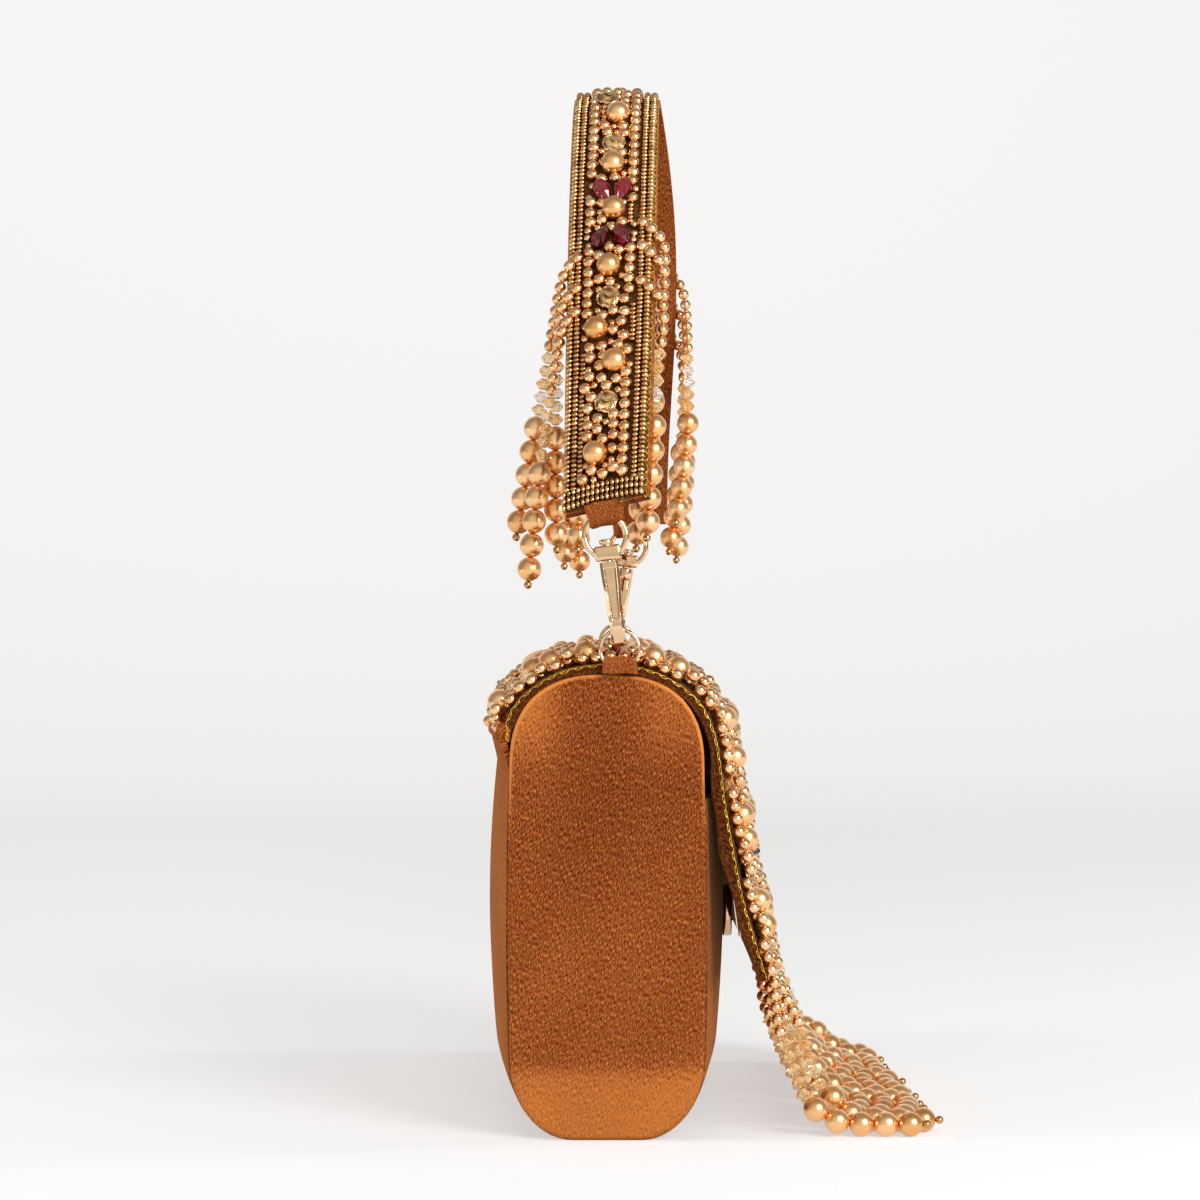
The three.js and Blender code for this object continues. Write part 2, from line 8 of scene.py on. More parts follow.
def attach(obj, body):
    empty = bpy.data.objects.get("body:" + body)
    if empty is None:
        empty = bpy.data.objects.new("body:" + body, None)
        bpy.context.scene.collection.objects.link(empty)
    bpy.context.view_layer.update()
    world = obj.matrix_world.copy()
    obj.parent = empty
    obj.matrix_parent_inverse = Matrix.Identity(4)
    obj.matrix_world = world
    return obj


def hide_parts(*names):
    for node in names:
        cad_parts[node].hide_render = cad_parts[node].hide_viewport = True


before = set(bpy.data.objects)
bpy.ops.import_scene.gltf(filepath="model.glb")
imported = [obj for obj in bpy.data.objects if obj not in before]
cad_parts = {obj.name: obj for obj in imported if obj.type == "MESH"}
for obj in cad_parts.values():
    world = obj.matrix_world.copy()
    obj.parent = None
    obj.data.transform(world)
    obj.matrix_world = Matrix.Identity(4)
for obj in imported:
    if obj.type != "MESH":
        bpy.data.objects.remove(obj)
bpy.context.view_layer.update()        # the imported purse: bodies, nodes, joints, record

mm = 0.001
random.seed(11)
bpy.ops.object.select_all(action="DESELECT")
print("frame loaded:", len(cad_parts), "nodes")


def clamp(value, low=0.0, high=1.0):
    return max(low, min(high, value))


def smoothStep(low, high, value):
    share = clamp((value - low) / (high - low))
    return share * share * (3 - 2 * share)


# Shader maths: a socket with operators, and a finish that makes nodes
class Wire:
    def __init__(self, finish, socket):
        self.finish = finish
        self.socket = socket

    def maths(self, operation, first, second):
        return self.finish.node("ShaderNodeMath", {"operation": operation}, {0: first, 1: second})

    def __add__(self, other):
        return self.maths("ADD", self, other)

    def __radd__(self, other):
        return self.maths("ADD", other, self)

    def __sub__(self, other):
        return self.maths("SUBTRACT", self, other)

    def __rsub__(self, other):
        return self.maths("SUBTRACT", other, self)

    def __mul__(self, other):
        return self.maths("MULTIPLY", self, other)

    def __rmul__(self, other):
        return self.maths("MULTIPLY", other, self)


class Finish:
    def __init__(self, name, constants):
        self.material = bpy.data.materials.new(name)
        self.material.use_nodes = True
        self.tree = self.material.node_tree
        self.shader = self.tree.nodes["Principled BSDF"]
        for socket, value in constants.items():
            self.shader.inputs[socket].default_value = value

    def node(self, kind, settings=None, inputs=None, output=0):
        made = self.tree.nodes.new(kind)
        for key, value in (settings or {}).items():
            if key == "stops":
                self.setStops(made.color_ramp, value)
            else:
                setattr(made, key, value)
        for key, value in (inputs or {}).items():
            if isinstance(value, Wire):
                self.tree.links.new(value.socket, made.inputs[key])
            else:
                made.inputs[key].default_value = value
        return Wire(self, made.outputs[output])

    def setStops(self, ramp, stops):
        while len(ramp.elements) < len(stops):
            ramp.elements.new(0.5)
        for element, (place, colour) in zip(ramp.elements, stops):
            element.position = place
            element.color = (*colour, 1)

    def feed(self, wires):
        for socket, wire in wires.items():
            self.tree.links.new(wire.socket, self.shader.inputs[socket])
        return self.material

    def grain(self, place, scale, detail=2.0, roughness=0.5):
        inputs = {"Vector": place, "Scale": scale, "Detail": detail, "Roughness": roughness}
        return self.node("ShaderNodeTexNoise", {}, inputs)

    def colours(self, factor, stops):
        return self.node("ShaderNodeValToRGB", {"stops": stops}, {"Fac": factor})

    def bump(self, height, strength, distance):
        inputs = {"Height": height, "Strength": strength, "Distance": distance}
        return self.node("ShaderNodeBump", {}, inputs)

    def uvPlace(self, turn, across, along):
        flat = self.node("ShaderNodeUVMap", {"uv_map": "cloth"})
        settings = {"Rotation": (0, 0, turn), "Scale": (1 / across, 1 / along, 1)}
        return self.node("ShaderNodeMapping", {"vector_type": "TEXTURE"}, {"Vector": flat, **settings})


# Satin: short slanted floats of thread, a broad drift, and a fine bump. The UV map is in metres.
# Where a piece carries the attribute of painted light and shade, its colour is painted lighter or darker by
# it, and its grain is smoother where it is painted lighter.
weave = {                      # turn, then how many in a metre, across and along
    "floats": (0.3, 3400, 780), "slubs": (-0.22, 4200, 1000), "drift": (0.3, 34, 16)}


def satinFinish(name, dark, middle, light):
    finish = Finish(name, {"Specular IOR Level": 0.0, "Sheen Weight": 0.35, "Sheen Roughness": 0.4,
                           "Sheen Tint": (1.0, 0.5, 0.22, 1)})
    floats = finish.grain(finish.uvPlace(*weave["floats"]), 1.0, 1.0, 0.5)
    slubs = finish.grain(finish.uvPlace(*weave["slubs"]), 1.0, 2.0, 0.6)
    drift = finish.grain(finish.uvPlace(*weave["drift"]), 1.0, 2.0, 0.5)
    # Painted light and shade: this attribute shifts the tone lighter or darker and lowers the grain's
    # contrast where it lightens
    sheen = finish.node("ShaderNodeAttribute", {"attribute_name": "sheen"}, {}, 2)
    thread = floats * 0.75 + slubs * 0.25
    tone = (thread - 0.5) * (0.92 - sheen * 3.7) + (drift - 0.5) * 0.1 + sheen + 0.5
    colour = finish.colours(tone, [(0.36, dark), (0.5, middle), (0.66, light)])
    rough = 0.7 - thread * 0.4
    normal = finish.bump(thread, 0.1, 0.0001)
    return finish.feed({"Base Color": colour, "Roughness": rough, "Normal": normal})


# Beads carry two attributes: tone is one number for each bead, hole is 1 where its thread goes in, and the
# hook's arm sets it in the corners of its sunk face; where it is high the colour is painted near black as
# shade
def beadFinish(name, constants, stops, rough, wear):
    finish = Finish(name, constants)
    tone = finish.node("ShaderNodeAttribute", {"attribute_name": "tone"}, {}, 2)
    hole = finish.node("ShaderNodeAttribute", {"attribute_name": "hole"}, {}, 2)
    place = finish.node("ShaderNodeTexCoord", {}, {}, 3)
    speckle = finish.grain(place, 900, 2.0, 0.6)
    mixed = tone * (1 - wear) + speckle * wear
    colour = finish.colours(mixed, stops)
    # Painted shade: the colour is mixed to near black where the attribute hole is high
    inside = finish.node("ShaderNodeMapRange", {"interpolation_type": "SMOOTHSTEP"},
                         {"Value": hole, "From Min": 0.45, "From Max": 0.7})
    dark = (0.02, 0.012, 0.008, 1)
    holeShadeColour = finish.node("ShaderNodeMix", {"data_type": "RGBA"}, {0: inside, 6: colour, 7: dark}, 2)
    roughness = rough + speckle * 0.05 + inside * 0.5
    return finish.feed({"Base Color": holeShadeColour, "Roughness": roughness})


satin = satinFinish("copperSatin", (0.086, 0.016, 0.004), (0.212, 0.049, 0.012), (0.54, 0.18, 0.04))
# The lining and its binding are the same copper satin painted darker, as painted shade under the flap's edge
liningSatinPaintedShade = satinFinish("liningSatinPaintedShade", (0.028, 0.007, 0.002), (0.075, 0.019, 0.005), (0.19, 0.058, 0.014))
# The backing under the beads: a dark brown net, its darkness partly its own colour and partly painted shade
# between the beads
nettingAndShade = satinFinish("darkNettingAndShade", (0.03, 0.012, 0.004), (0.09, 0.04, 0.013), (0.22, 0.11, 0.04))
pearlGold = beadFinish("satinGoldPearl", {"Metallic": 0.95, "Coat Weight": 0.15, "Coat Roughness": 0.1},
                       [(0.1, (0.80, 0.41, 0.15)), (0.5, (0.94, 0.54, 0.24)), (0.9, (1.0, 0.65, 0.35))],
                       0.27, 0.04)
roseGold = beadFinish("roseGoldBead", {"Metallic": 1.0},
                      [(0.1, (0.75, 0.41, 0.18)), (0.5, (0.92, 0.56, 0.28)), (0.9, (0.98, 0.69, 0.40))],
                      0.2, 0.04)
seedBronze = beadFinish("bronzeSeed", {"Metallic": 1.0},
                        [(0.1, (0.40, 0.20, 0.07)), (0.5, (0.68, 0.40, 0.17)), (0.9, (0.92, 0.62, 0.33))],
                        0.18, 0.1)
chainGold = beadFinish("chainGold", {"Metallic": 0.6},
                       [(0.1, (0.60, 0.33, 0.02)), (0.5, (0.82, 0.49, 0.04)), (0.9, (0.95, 0.65, 0.12))],
                       0.25, 0.1)
hardwareGold = beadFinish("paleGoldMetal", {"Metallic": 1.0},
                          [(0.2, (0.74, 0.47, 0.26)), (0.5, (0.81, 0.55, 0.33)), (0.8, (0.87, 0.64, 0.43))],
                          0.05, 0.3)
amberCrystal = beadFinish("amberCrystal", {"Transmission Weight": 0.75, "IOR": 1.54, "Coat Weight": 0.4},
                          [(0.1, (0.99, 0.60, 0.22)), (0.5, (0.99, 0.74, 0.40)), (0.8, (0.99, 0.85, 0.64)),
                           (0.97, (0.95, 0.90, 0.88))], 0.0, 0.04)
rubyCrystal = beadFinish("rubyCrystal", {"Transmission Weight": 0.3, "IOR": 1.6, "Coat Weight": 0.4},
                         [(0.25, (0.035, 0.0, 0.002)), (0.5, (0.09, 0.0, 0.005)), (0.8, (0.22, 0.001, 0.01))],
                         0.0, 0.04)
champagneStone = beadFinish("champagneStone", {"Metallic": 0.9, "IOR": 1.6, "Coat Weight": 0.2},
                            [(0.2, (0.07, 0.03, 0.006)), (0.55, (0.42, 0.2, 0.045)),
                             (0.9, (1.0, 0.72, 0.33))],
                            0.0, 0.04)
print("finishes made")


# Finishing a piece: it stays at the origin, rides on a body and stands for its CAD nodes
def settle(piece, name, material, nodes, body="root"):
    piece.name = name
    piece.data.name = name
    piece.data.materials.clear()
    piece.data.materials.append(material)
    for node in nodes:
        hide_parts(node)
    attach(piece, body)
    piece.select_set(False)
    return piece


def applyModifier(piece, kind, settings):
    bpy.context.view_layer.objects.active = piece
    modifier = piece.modifiers.new(kind.lower(), kind)
    for key, value in settings.items():
        setattr(modifier, key, value)
    bpy.ops.object.modifier_apply(modifier=modifier.name)


def startPiece():
    bpy.ops.object.select_all(action="DESELECT")


def selectOnly(piece):
    startPiece()
    piece.select_set(True)
    bpy.context.view_layer.objects.active = piece


def editMesh(piece, operators):
    selectOnly(piece)
    bpy.ops.object.mode_set(mode="EDIT")
    bpy.ops.mesh.select_all(action="SELECT")
    operators()
    bpy.ops.object.mode_set(mode="OBJECT")


# Used in edit mode: a rolled sheet becomes a closed shell, its ends filled
def closeShell(gap):
    bpy.ops.mesh.remove_doubles(threshold=gap)
    bpy.ops.mesh.fill_holes(sides=0)
    bpy.ops.mesh.normals_make_consistent(inside=False)


def smoothShade(piece, degrees):
    selectOnly(piece)
    bpy.ops.object.shade_smooth_by_angle(angle=math.radians(degrees))


def joinPieces(parts):
    startPiece()
    for part in parts:
        part.select_set(True)
    bpy.context.view_layer.objects.active = parts[0]
    bpy.ops.object.join()
    return bpy.context.object


def setCloth(piece, flatPlace):
    layer = piece.data.uv_layers.get("cloth") or piece.data.uv_layers.new(name="cloth")
    for loop in piece.data.loops:
        layer.data[loop.index].uv = flatPlace(piece.data.vertices[loop.vertex_index].co)


# A cloth sheet from a grid: surface gives millimetres for (u, v), flat is its cut size in millimetres
def clothSheet(surface, columns, rows, thickness, flat):
    startPiece()
    bpy.ops.mesh.primitive_grid_add(x_subdivisions=columns, y_subdivisions=rows, size=2)
    piece = bpy.context.object
    piece.data.uv_layers[0].name = "cloth"
    for data in piece.data.uv_layers["cloth"].data:
        data.uv = (data.uv[0] * flat[0] * mm, data.uv[1] * flat[1] * mm)
    for vertex in piece.data.vertices:
        vertex.co = surface((vertex.co.x + 1) / 2, (vertex.co.y + 1) / 2) * mm
    piece.data.update()
    if thickness:
        applyModifier(piece, "SOLIDIFY", {"thickness": thickness * mm, "offset": -1, "use_even_offset": True})
    smoothShade(piece, 50)
    return piece


# One bead shape as arrays, from a primitive that the caller has shaped
def takeShape(piece, paintedGlint=0):               # painted glints: how far the tones of a stone's corners differ at random
    mesh = piece.data
    shape = {
        "points": np.array([vertex.co[:] for vertex in mesh.vertices]),
        "loops": np.array([index for face in mesh.polygons for index in face.vertices]),
        "sizes": np.array([len(face.vertices) for face in mesh.polygons]),
        "hole": np.array([1.0 if vertex.select else 0.0 for vertex in mesh.vertices]),
        "shade": np.array([random.uniform(-paintedGlint, paintedGlint) for vertex in mesh.vertices]),
        "smooth": paintedGlint == 0,
    }
    bpy.data.objects.remove(piece)
    return shape


# Many copies of one shape as a joined mesh: each place has a centre, three axes scaled in millimetres, a tone
def joinCopies(shape, places):
    count = len(places)
    points = shape["points"]
    turns = np.array([place["axes"] for place in places])
    centres = np.array([place["centre"] for place in places])
    moved = (np.einsum("vk,nkj->nvj", points, turns) + centres[:, None, :]) * mm
    loops = shape["loops"][None, :] + (np.arange(count) * len(points))[:, None]
    sizes = np.tile(shape["sizes"], count)
    starts = np.concatenate([[0], np.cumsum(sizes)[:-1]])
    mesh = bpy.data.meshes.new("copies")
    mesh.vertices.add(count * len(points))
    mesh.vertices.foreach_set("co", moved.ravel())
    mesh.loops.add(loops.size)
    mesh.loops.foreach_set("vertex_index", loops.ravel())
    mesh.polygons.add(len(sizes))
    mesh.polygons.foreach_set("loop_start", starts)
    mesh.polygons.foreach_set("loop_total", sizes)
    mesh.polygons.foreach_set("use_smooth", np.full(len(sizes), shape["smooth"]))
    tones = (np.array([[place["tone"]] for place in places]) + shape["shade"][None, :]).ravel()
    mesh.attributes.new("tone", "FLOAT", "POINT").data.foreach_set("value", tones.astype(np.float32))
    holes = np.tile(shape["hole"], count)
    mesh.attributes.new("hole", "FLOAT", "POINT").data.foreach_set("value", holes.astype(np.float32))
    mesh.update(calc_edges=True)
    mesh.validate()
    piece = bpy.data.objects.new("copies", mesh)
    bpy.context.collection.objects.link(piece)
    return piece


def evenTone(piece, value):
    layer = piece.data.attributes.new("tone", "FLOAT", "POINT")
    layer.data.foreach_set("value", np.full(len(piece.data.vertices), value, dtype=np.float32))


# A place for one copy: its own Z lies along axis, and size is its half extents
def placeOf(centre, axis, size, tone, spin=0.0):
    turn = Vector((0, 0, 1)).rotation_difference(Vector(axis)).to_matrix() @ Matrix.Rotation(spin, 3, "Z")
    rows = [list(turn.col[k] * size[k]) for k in range(3)]
    return {"axes": rows, "centre": list(centre), "tone": tone}


def randomTone():
    return min(1.0, max(0.0, random.gauss(0.5, 0.2)))


# Bead shapes, each modelled once
def drilledBead(segments, rings, hole):
    bpy.ops.mesh.primitive_uv_sphere_add(segments=segments, ring_count=rings, radius=1)
    bead = bpy.context.object
    for vertex in bead.data.vertices:         # the first ring closes in to the rim of the hole
        polar = math.acos(clamp(abs(vertex.co.z)))
        vertex.select = polar < 0.01
        if vertex.select:
            vertex.co.z *= 0.97
            continue
        step = polar * rings / math.pi
        share = (step - 1) / (rings / 2 - 1)
        turned = hole + (math.pi / 2 - hole) * share
        reach = math.hypot(vertex.co.x, vertex.co.y)
        vertex.co.x *= math.sin(turned) / reach
        vertex.co.y *= math.sin(turned) / reach
        vertex.co.z = math.copysign(math.cos(turned), vertex.co.z)
    return takeShape(bead)


# A stone's corners get random tones apart, painted glints and reflections on its facets
def ringedStone(segments, rows, turn, paintedGlint):
    bpy.ops.mesh.primitive_uv_sphere_add(segments=segments, ring_count=len(rows) + 1, radius=1)
    stone = bpy.context.object
    levels = sorted({round(vertex.co.z, 4) for vertex in stone.data.vertices}, reverse=True)
    heights = [rows[0]["z"]] + [row["z"] for row in rows] + [rows[-1]["z"]]
    radii = [0] + [row["radius"] for row in rows] + [0]
    for vertex in stone.data.vertices:
        level = levels.index(round(vertex.co.z, 4))
        if math.hypot(vertex.co.x, vertex.co.y) > 1e-4:       # each ring is turned from the next
            turned = math.atan2(vertex.co.y, vertex.co.x) + turn * level * 2 * math.pi / segments
            vertex.co.x = radii[level] * math.cos(turned)
            vertex.co.y = radii[level] * math.sin(turned)
        vertex.co.z = heights[level]
        vertex.select = False
    return takeShape(stone, paintedGlint)


smallBead = drilledBead(12, 8, 0.26)
pearlBead = drilledBead(22, 14, 0.12)
seedBead = drilledBead(8, 6, 0.45)
bicone = ringedStone(8, [{"radius": 0.42, "z": 0.85}, {"radius": 1.0, "z": 0.12}, {"radius": 1.0, "z": -0.12},
                         {"radius": 0.42, "z": -0.85}], 0, 0.2)
chaton = ringedStone(6, [{"radius": 0.36, "z": 0.72}, {"radius": 0.7, "z": 0.52}, {"radius": 0.96, "z": 0.2},
                         {"radius": 1.0, "z": 0.0}, {"radius": 0.3, "z": -0.6}], 0.5, 0.6)
dropStone = ringedStone(8, [{"radius": 0.28, "z": 0.95}, {"radius": 0.72, "z": 0.45},
                            {"radius": 1.0, "z": -0.15}, {"radius": 0.86, "z": -0.62},
                            {"radius": 0.4, "z": -0.95}], 0.5, 0.16)
bpy.ops.mesh.primitive_torus_add(major_segments=12, minor_segments=6, major_radius=0.82, minor_radius=0.18)
for vertex in bpy.context.object.data.vertices:
    vertex.select = False
chainLink = takeShape(bpy.context.object)


def clawCup():
    bpy.ops.mesh.primitive_torus_add(major_segments=16, minor_segments=6, major_radius=1.02,
                                     minor_radius=0.13)
    cup = bpy.context.object
    for vertex in cup.data.vertices:          # four claws rise and close over the stone
        vertex.select = False
        corner = abs(math.sin(2 * math.atan2(vertex.co.y, vertex.co.x))) ** 6
        if vertex.co.z > 0:
            vertex.co.z += 0.42 * corner
            vertex.co.x *= 1 - 0.12 * corner
            vertex.co.y *= 1 - 0.12 * corner
    return takeShape(cup)


stoneCup = clawCup()
print("bead shapes made")


# Lines and surfaces, in millimetres: +Z up, the front faces -Y, the photographed end faces -X
def ripple(x, y, z=0.0):
    return noise.noise(Vector((x, y, z)))


# A line of points that is read by its distance from the start
class Route:
    def __init__(self, points):
        self.points = np.array(points, float)
        steps = np.linalg.norm(np.diff(self.points, axis=0), axis=1)
        self.distances = np.concatenate([[0], np.cumsum(steps)])
        self.length = self.distances[-1]

    def at(self, distance):
        return np.array([np.interp(distance, self.distances, column) for column in self.points.T])

    def heading(self, distance):
        step = 0.2
        ahead = self.at(min(distance + step, self.length)) - self.at(max(distance - step, 0))
        return ahead / np.linalg.norm(ahead)


# A centripetal spline through a short table of points
def smoothRoute(rows, steps=24):
    inner = [np.array(row, float) for row in rows]
    points = [2 * inner[0] - inner[1]] + inner + [2 * inner[-1] - inner[-2]]
    line = []
    for a, b, c, d in zip(points, points[1:], points[2:], points[3:]):
        ab, bc, cd = [np.linalg.norm(q - p) ** 0.5 for p, q in ((a, b), (b, c), (c, d))]
        start = ((b - a) / ab - (c - a) / (ab + bc) + (c - b) / bc) * bc
        end = ((c - b) / bc - (d - b) / (bc + cd) + (d - c) / cd) * bc
        for t in np.linspace(0, 1, steps, endpoint=False):
            rise = 3 * t ** 2 - 2 * t ** 3
            turned = (t ** 3 - 2 * t ** 2 + t) * start + (t ** 3 - t ** 2) * end
            line.append((1 - rise) * b + rise * c + turned)
    line.append(inner[-1])
    return Route(line)


# Bag body
bag = {"halfLength": 100, "endThickness": 2, "wall": 2, "halfDepth": 31, "baseHalf": 11, "cornerRise": 26,
       "shoulder": 118, "crown": 148, "crownPower": 2.5, "sideSwell": 0.6, "bulge": 8.7, "bulgeFoot": 20,
       "bulgeSpan": 180, "bulgePower": 0.7, "hemTop": 131.5, "hemBottom": 127, "hemFlare": 3.4,
       "frontTop": 108, "gap": 0.3, "pucker": 0.25}


def sideDepth(z):
    rise = clamp((z - bag["cornerRise"]) / (bag["shoulder"] - bag["cornerRise"]))
    return bag["halfDepth"] + bag["sideSwell"] * math.sin(math.pi * rise)


def bulgeAt(x, z):
    lift = math.sin(math.pi * (z + bag["bulgeFoot"]) / bag["bulgeSpan"]) ** bag["bulgePower"]
    return bag["bulge"] * lift * (1 - (x / bag["halfLength"]) ** 2)


# Half of an end's outline, from the middle of the base up to a height
def outlineHalf(top, steps):
    line = [(0, 0)]
    for step in range(steps + 1):
        angle = math.pi / 2 * step / steps
        reach = (bag["halfDepth"] - bag["baseHalf"]) * math.sin(angle)
        line.append((bag["baseHalf"] + reach, bag["cornerRise"] * (1 - math.cos(angle))))
    sideTop = min(top, bag["shoulder"])
    for step in range(1, 2 * steps + 1):
        z = bag["cornerRise"] + (sideTop - bag["cornerRise"]) * step / (2 * steps)
        line.append((sideDepth(z), z))
    power = 2 / bag["crownPower"]
    for step in range(1, 2 * steps + 1):
        if top > bag["shoulder"]:
            angle = math.pi / 2 * step / (2 * steps)
            rise = (bag["crown"] - bag["shoulder"]) * max(0, math.sin(angle)) ** power
            line.append((bag["halfDepth"] * max(0, math.cos(angle)) ** power, bag["shoulder"] + rise))
    return line


def wallRoute():
    hem = bag["halfDepth"] + bag["hemFlare"]
    back = outlineHalf(bag["shoulder"], 12)
    back += [(hem - 0.15 * bag["hemFlare"], bag["hemBottom"]), (hem, bag["hemTop"])]
    front = outlineHalf(bag["frontTop"], 12)
    return Route([(y, z) for y, z in reversed(back)] + [(-y, z) for y, z in front[1:]])


wallLine = wallRoute()


def wallSurface(u, v):
    x = (bag["halfLength"] - bag["endThickness"] - bag["gap"]) * (2 * u - 1)
    y, z = wallLine.at(clamp(v) * wallLine.length)
    swell = bulgeAt(x, z) + bag["pucker"] * ripple(x / 26, v * 9)
    return Vector((x, y + swell * clamp(y / sideDepth(z), -1, 1), z))


wallFlat = (2 * (bag["halfLength"] - bag["endThickness"]), wallLine.length)
wallSheet = clothSheet(wallSurface, 36, 120, bag["wall"], wallFlat)

# The top of the back is folded over into a thick band that holds the root of the flap
hemLine = smoothRoute([(30.4, 128.4), (31, 127.7), (33, 127.5), (34.6, 127.6), (35.1, 128.3), (35, 130),
                       (34.9, 131.6), (34.2, 132.3), (32.4, 132.5), (31, 132.3), (30.3, 131.4), (30.2, 130),
                       (30.4, 128.4)], 4)


def hemSurface(u, v):
    x = (bag["halfLength"] - bag["endThickness"] - bag["gap"]) * (1 - 2 * u)
    y, z = hemLine.at(clamp(v) * hemLine.length)
    return Vector((x, y + bulgeAt(x, z) + 0.25 * ripple(x / 14, 3.1), z + 0.35 * ripple(x / 11, 7.7)))


hemBand = clothSheet(hemSurface, 60, 40, 0, (wallFlat[0], hemLine.length))
editMesh(hemBand, lambda: closeShell(0.01 * mm))
setCloth(hemBand, lambda place: (place.x + 0.4 * place.y, place.z + place.y))
bodyWall = settle(joinPieces([wallSheet, hemBand]), "bodyWall", satin, ["body_shell"])


# The two ends: a rounded rim, a slightly crowned face, a small crease under the tab
endPanel = {"columns": 150, "rows": 20, "crown": 0.45, "rim": 1.3, "pillow": 0.9, "creaseDepth": 0.5,
            "creaseHalf": 1.1, "creaseY": 1.0, "creaseFoot": 134, "thickness": 1.2}
panelHalf = outlineHalf(bag["crown"], 16)
panelRing = Route(panelHalf + [(-y, z) for y, z in reversed(panelHalf[:-1])])
panelEdge = np.array([panelRing.at(along) for along in np.arange(0, panelRing.length, 0.5)])


# Painted light and shade on the end panels: the satin is painted lighter at the base, towards the crown's
# corners (more on the back shoulder) and as a highlight along the rolled rim, and painted darker down the
# upper middle
def panelPaintedLight(place):
    base = 0.05 * smoothStep(34, 8, place.z) + 0.06 * smoothStep(25, 20, place.z)
    shoulder = 0.12 if place.y > 2 else 0.08
    corners = shoulder * smoothStep(110, 136, place.z) * smoothStep(6, 22, abs(place.y - 2))
    middle = -0.035 * smoothStep(50, 115, place.z)
    inset = np.hypot(panelEdge[:, 0] - place.y, panelEdge[:, 1] - place.z).min()
    rim = 0.2 * smoothStep(1.1, 0.5, inset) * smoothStep(90, 120, place.z)
    return base + corners + middle + rim


def makeEnd(facing, name, node):
    def surface(u, v):
        y, z = panelRing.at(clamp(u if facing > 0 else 1 - u) * panelRing.length)
        share = clamp(v) ** 2
        inset = share * bag["halfDepth"]
        spine = clamp(z, bag["halfDepth"], bag["crown"] - bag["halfDepth"])
        y *= 1 - share
        z += (spine - z) * share
        out = endPanel["crown"] * (1 - math.exp(-inset / 4)) - endPanel["rim"] * max(0, 1 - inset / 1.4) ** 2
        out += endPanel["pillow"] * smoothStep(0, 15, inset)
        out += bag["pucker"] * ripple(y / 17, z / 23, facing) * smoothStep(0, 4, inset)
        crease = math.exp(-((y - endPanel["creaseY"]) / endPanel["creaseHalf"]) ** 2)
        out -= endPanel["creaseDepth"] * crease * smoothStep(endPanel["creaseFoot"], bag["crown"], z)
        return Vector((facing * (bag["halfLength"] + out), y, z))

    panel = clothSheet(surface, endPanel["columns"], endPanel["rows"], 0, (100, 100))
    editMesh(panel, lambda: bpy.ops.mesh.remove_doubles(threshold=0.02 * mm))
    applyModifier(panel, "SOLIDIFY", {"thickness": endPanel["thickness"] * mm, "offset": -1})
    setCloth(panel, lambda place: (place.y, place.z))
    # The panel's painted light and shade goes into a vertex attribute that the satin finish reads
    sheen = panel.data.attributes.new("sheen", "FLOAT", "POINT")
    sheen.data.foreach_set("value", [panelPaintedLight(vertex.co / mm) for vertex in panel.data.vertices])
    smoothShade(panel, 50)
    return settle(panel, name, satin, [node])


endLeft = makeEnd(-1, "endPanelLeft", "side_panel_left")
endRight = makeEnd(1, "endPanelRight", "side_panel_right")
print("body made")

# Flap and its lining
flap = {"halfWidth": 97.5, "thickness": 1.2, "lining": 1.0, "liningWave": 1.4, "bulge": 0.13,
        "bulgeReach": 36, "freeBelow": 45, "heldAbove": 80, "hemStart": 0.002, "hemEnd": 0.998}
flapLine = smoothRoute([(31.4, 126), (31.6, 132.4), (27.8, 139.6), (15.6, 148), (0, 151), (-15.4, 148.4),
                        (-28.6, 139.6), (-34, 128.7), (-37.6, 104.8), (-43.2, 75.8), (-51, 50)])


def flapPoint(x, distance):
    y, z = flapLine.at(distance)
    hold = smoothStep(flap["freeBelow"], flap["heldAbove"], z) * (1 - (x / bag["halfLength"]) ** 2)
    return Vector((x, y + flap["bulge"] * hold * max(y, -flap["bulgeReach"]), z))


def flapNormal(x, distance):
    across = flapPoint(x - 0.5, distance) - flapPoint(x + 0.5, distance)
    down = flapPoint(x, min(distance + 0.5, flapLine.length)) - flapPoint(x, max(distance - 0.5, 0))
    return across.cross(down).normalized()


def flapSurface(u, v):
    share = flap["hemStart"] + (flap["hemEnd"] - flap["hemStart"]) * clamp(v)
    return flapPoint(flap["halfWidth"] * (1 - 2 * u), share * flapLine.length)


def liningSurface(u, v):
    nearEnd = (2 * u - 1) ** 4
    wave = flap["liningWave"] * math.sin(math.pi * smoothStep(0.45, 1, v)) ** 2
    wave += 0.35 * math.sin(44 * v) * smoothStep(0.4, 0.55, v) * smoothStep(1, 0.96, v)
    drop = flap["thickness"] + bag["gap"] + wave * nearEnd
    point = flapSurface(u, v)
    return point - flapNormal(point.x, clamp(v) * flapLine.length) * drop


flapFlat = (2 * flap["halfWidth"], flapLine.length)
flapSheet = clothSheet(flapSurface, 36, 96, flap["thickness"], flapFlat)
flapCloth = settle(flapSheet, "flapCloth", satin, ["flap"])
liningSheet = clothSheet(liningSurface, 36, 120, flap["lining"], flapFlat)


# Each end of the lining is bound: a strip turns down over the flap's edge and rolls under
binding = {"width": 0.4, "roll": 0.55, "under": 1.6, "depth": 2.7, "thickness": 0.3, "start": 0.03,
           "span": 0.965, "columns": 22, "rows": 150}


def bindingDepth(share):
    wave = flap["liningWave"] * math.sin(math.pi * smoothStep(0.45, 1, share)) ** 2
    wave += 0.35 * ripple(share * 21, 4.4) + 0.3 * math.sin(44 * share) * smoothStep(0.4, 0.55, share)
    return binding["depth"] + wave


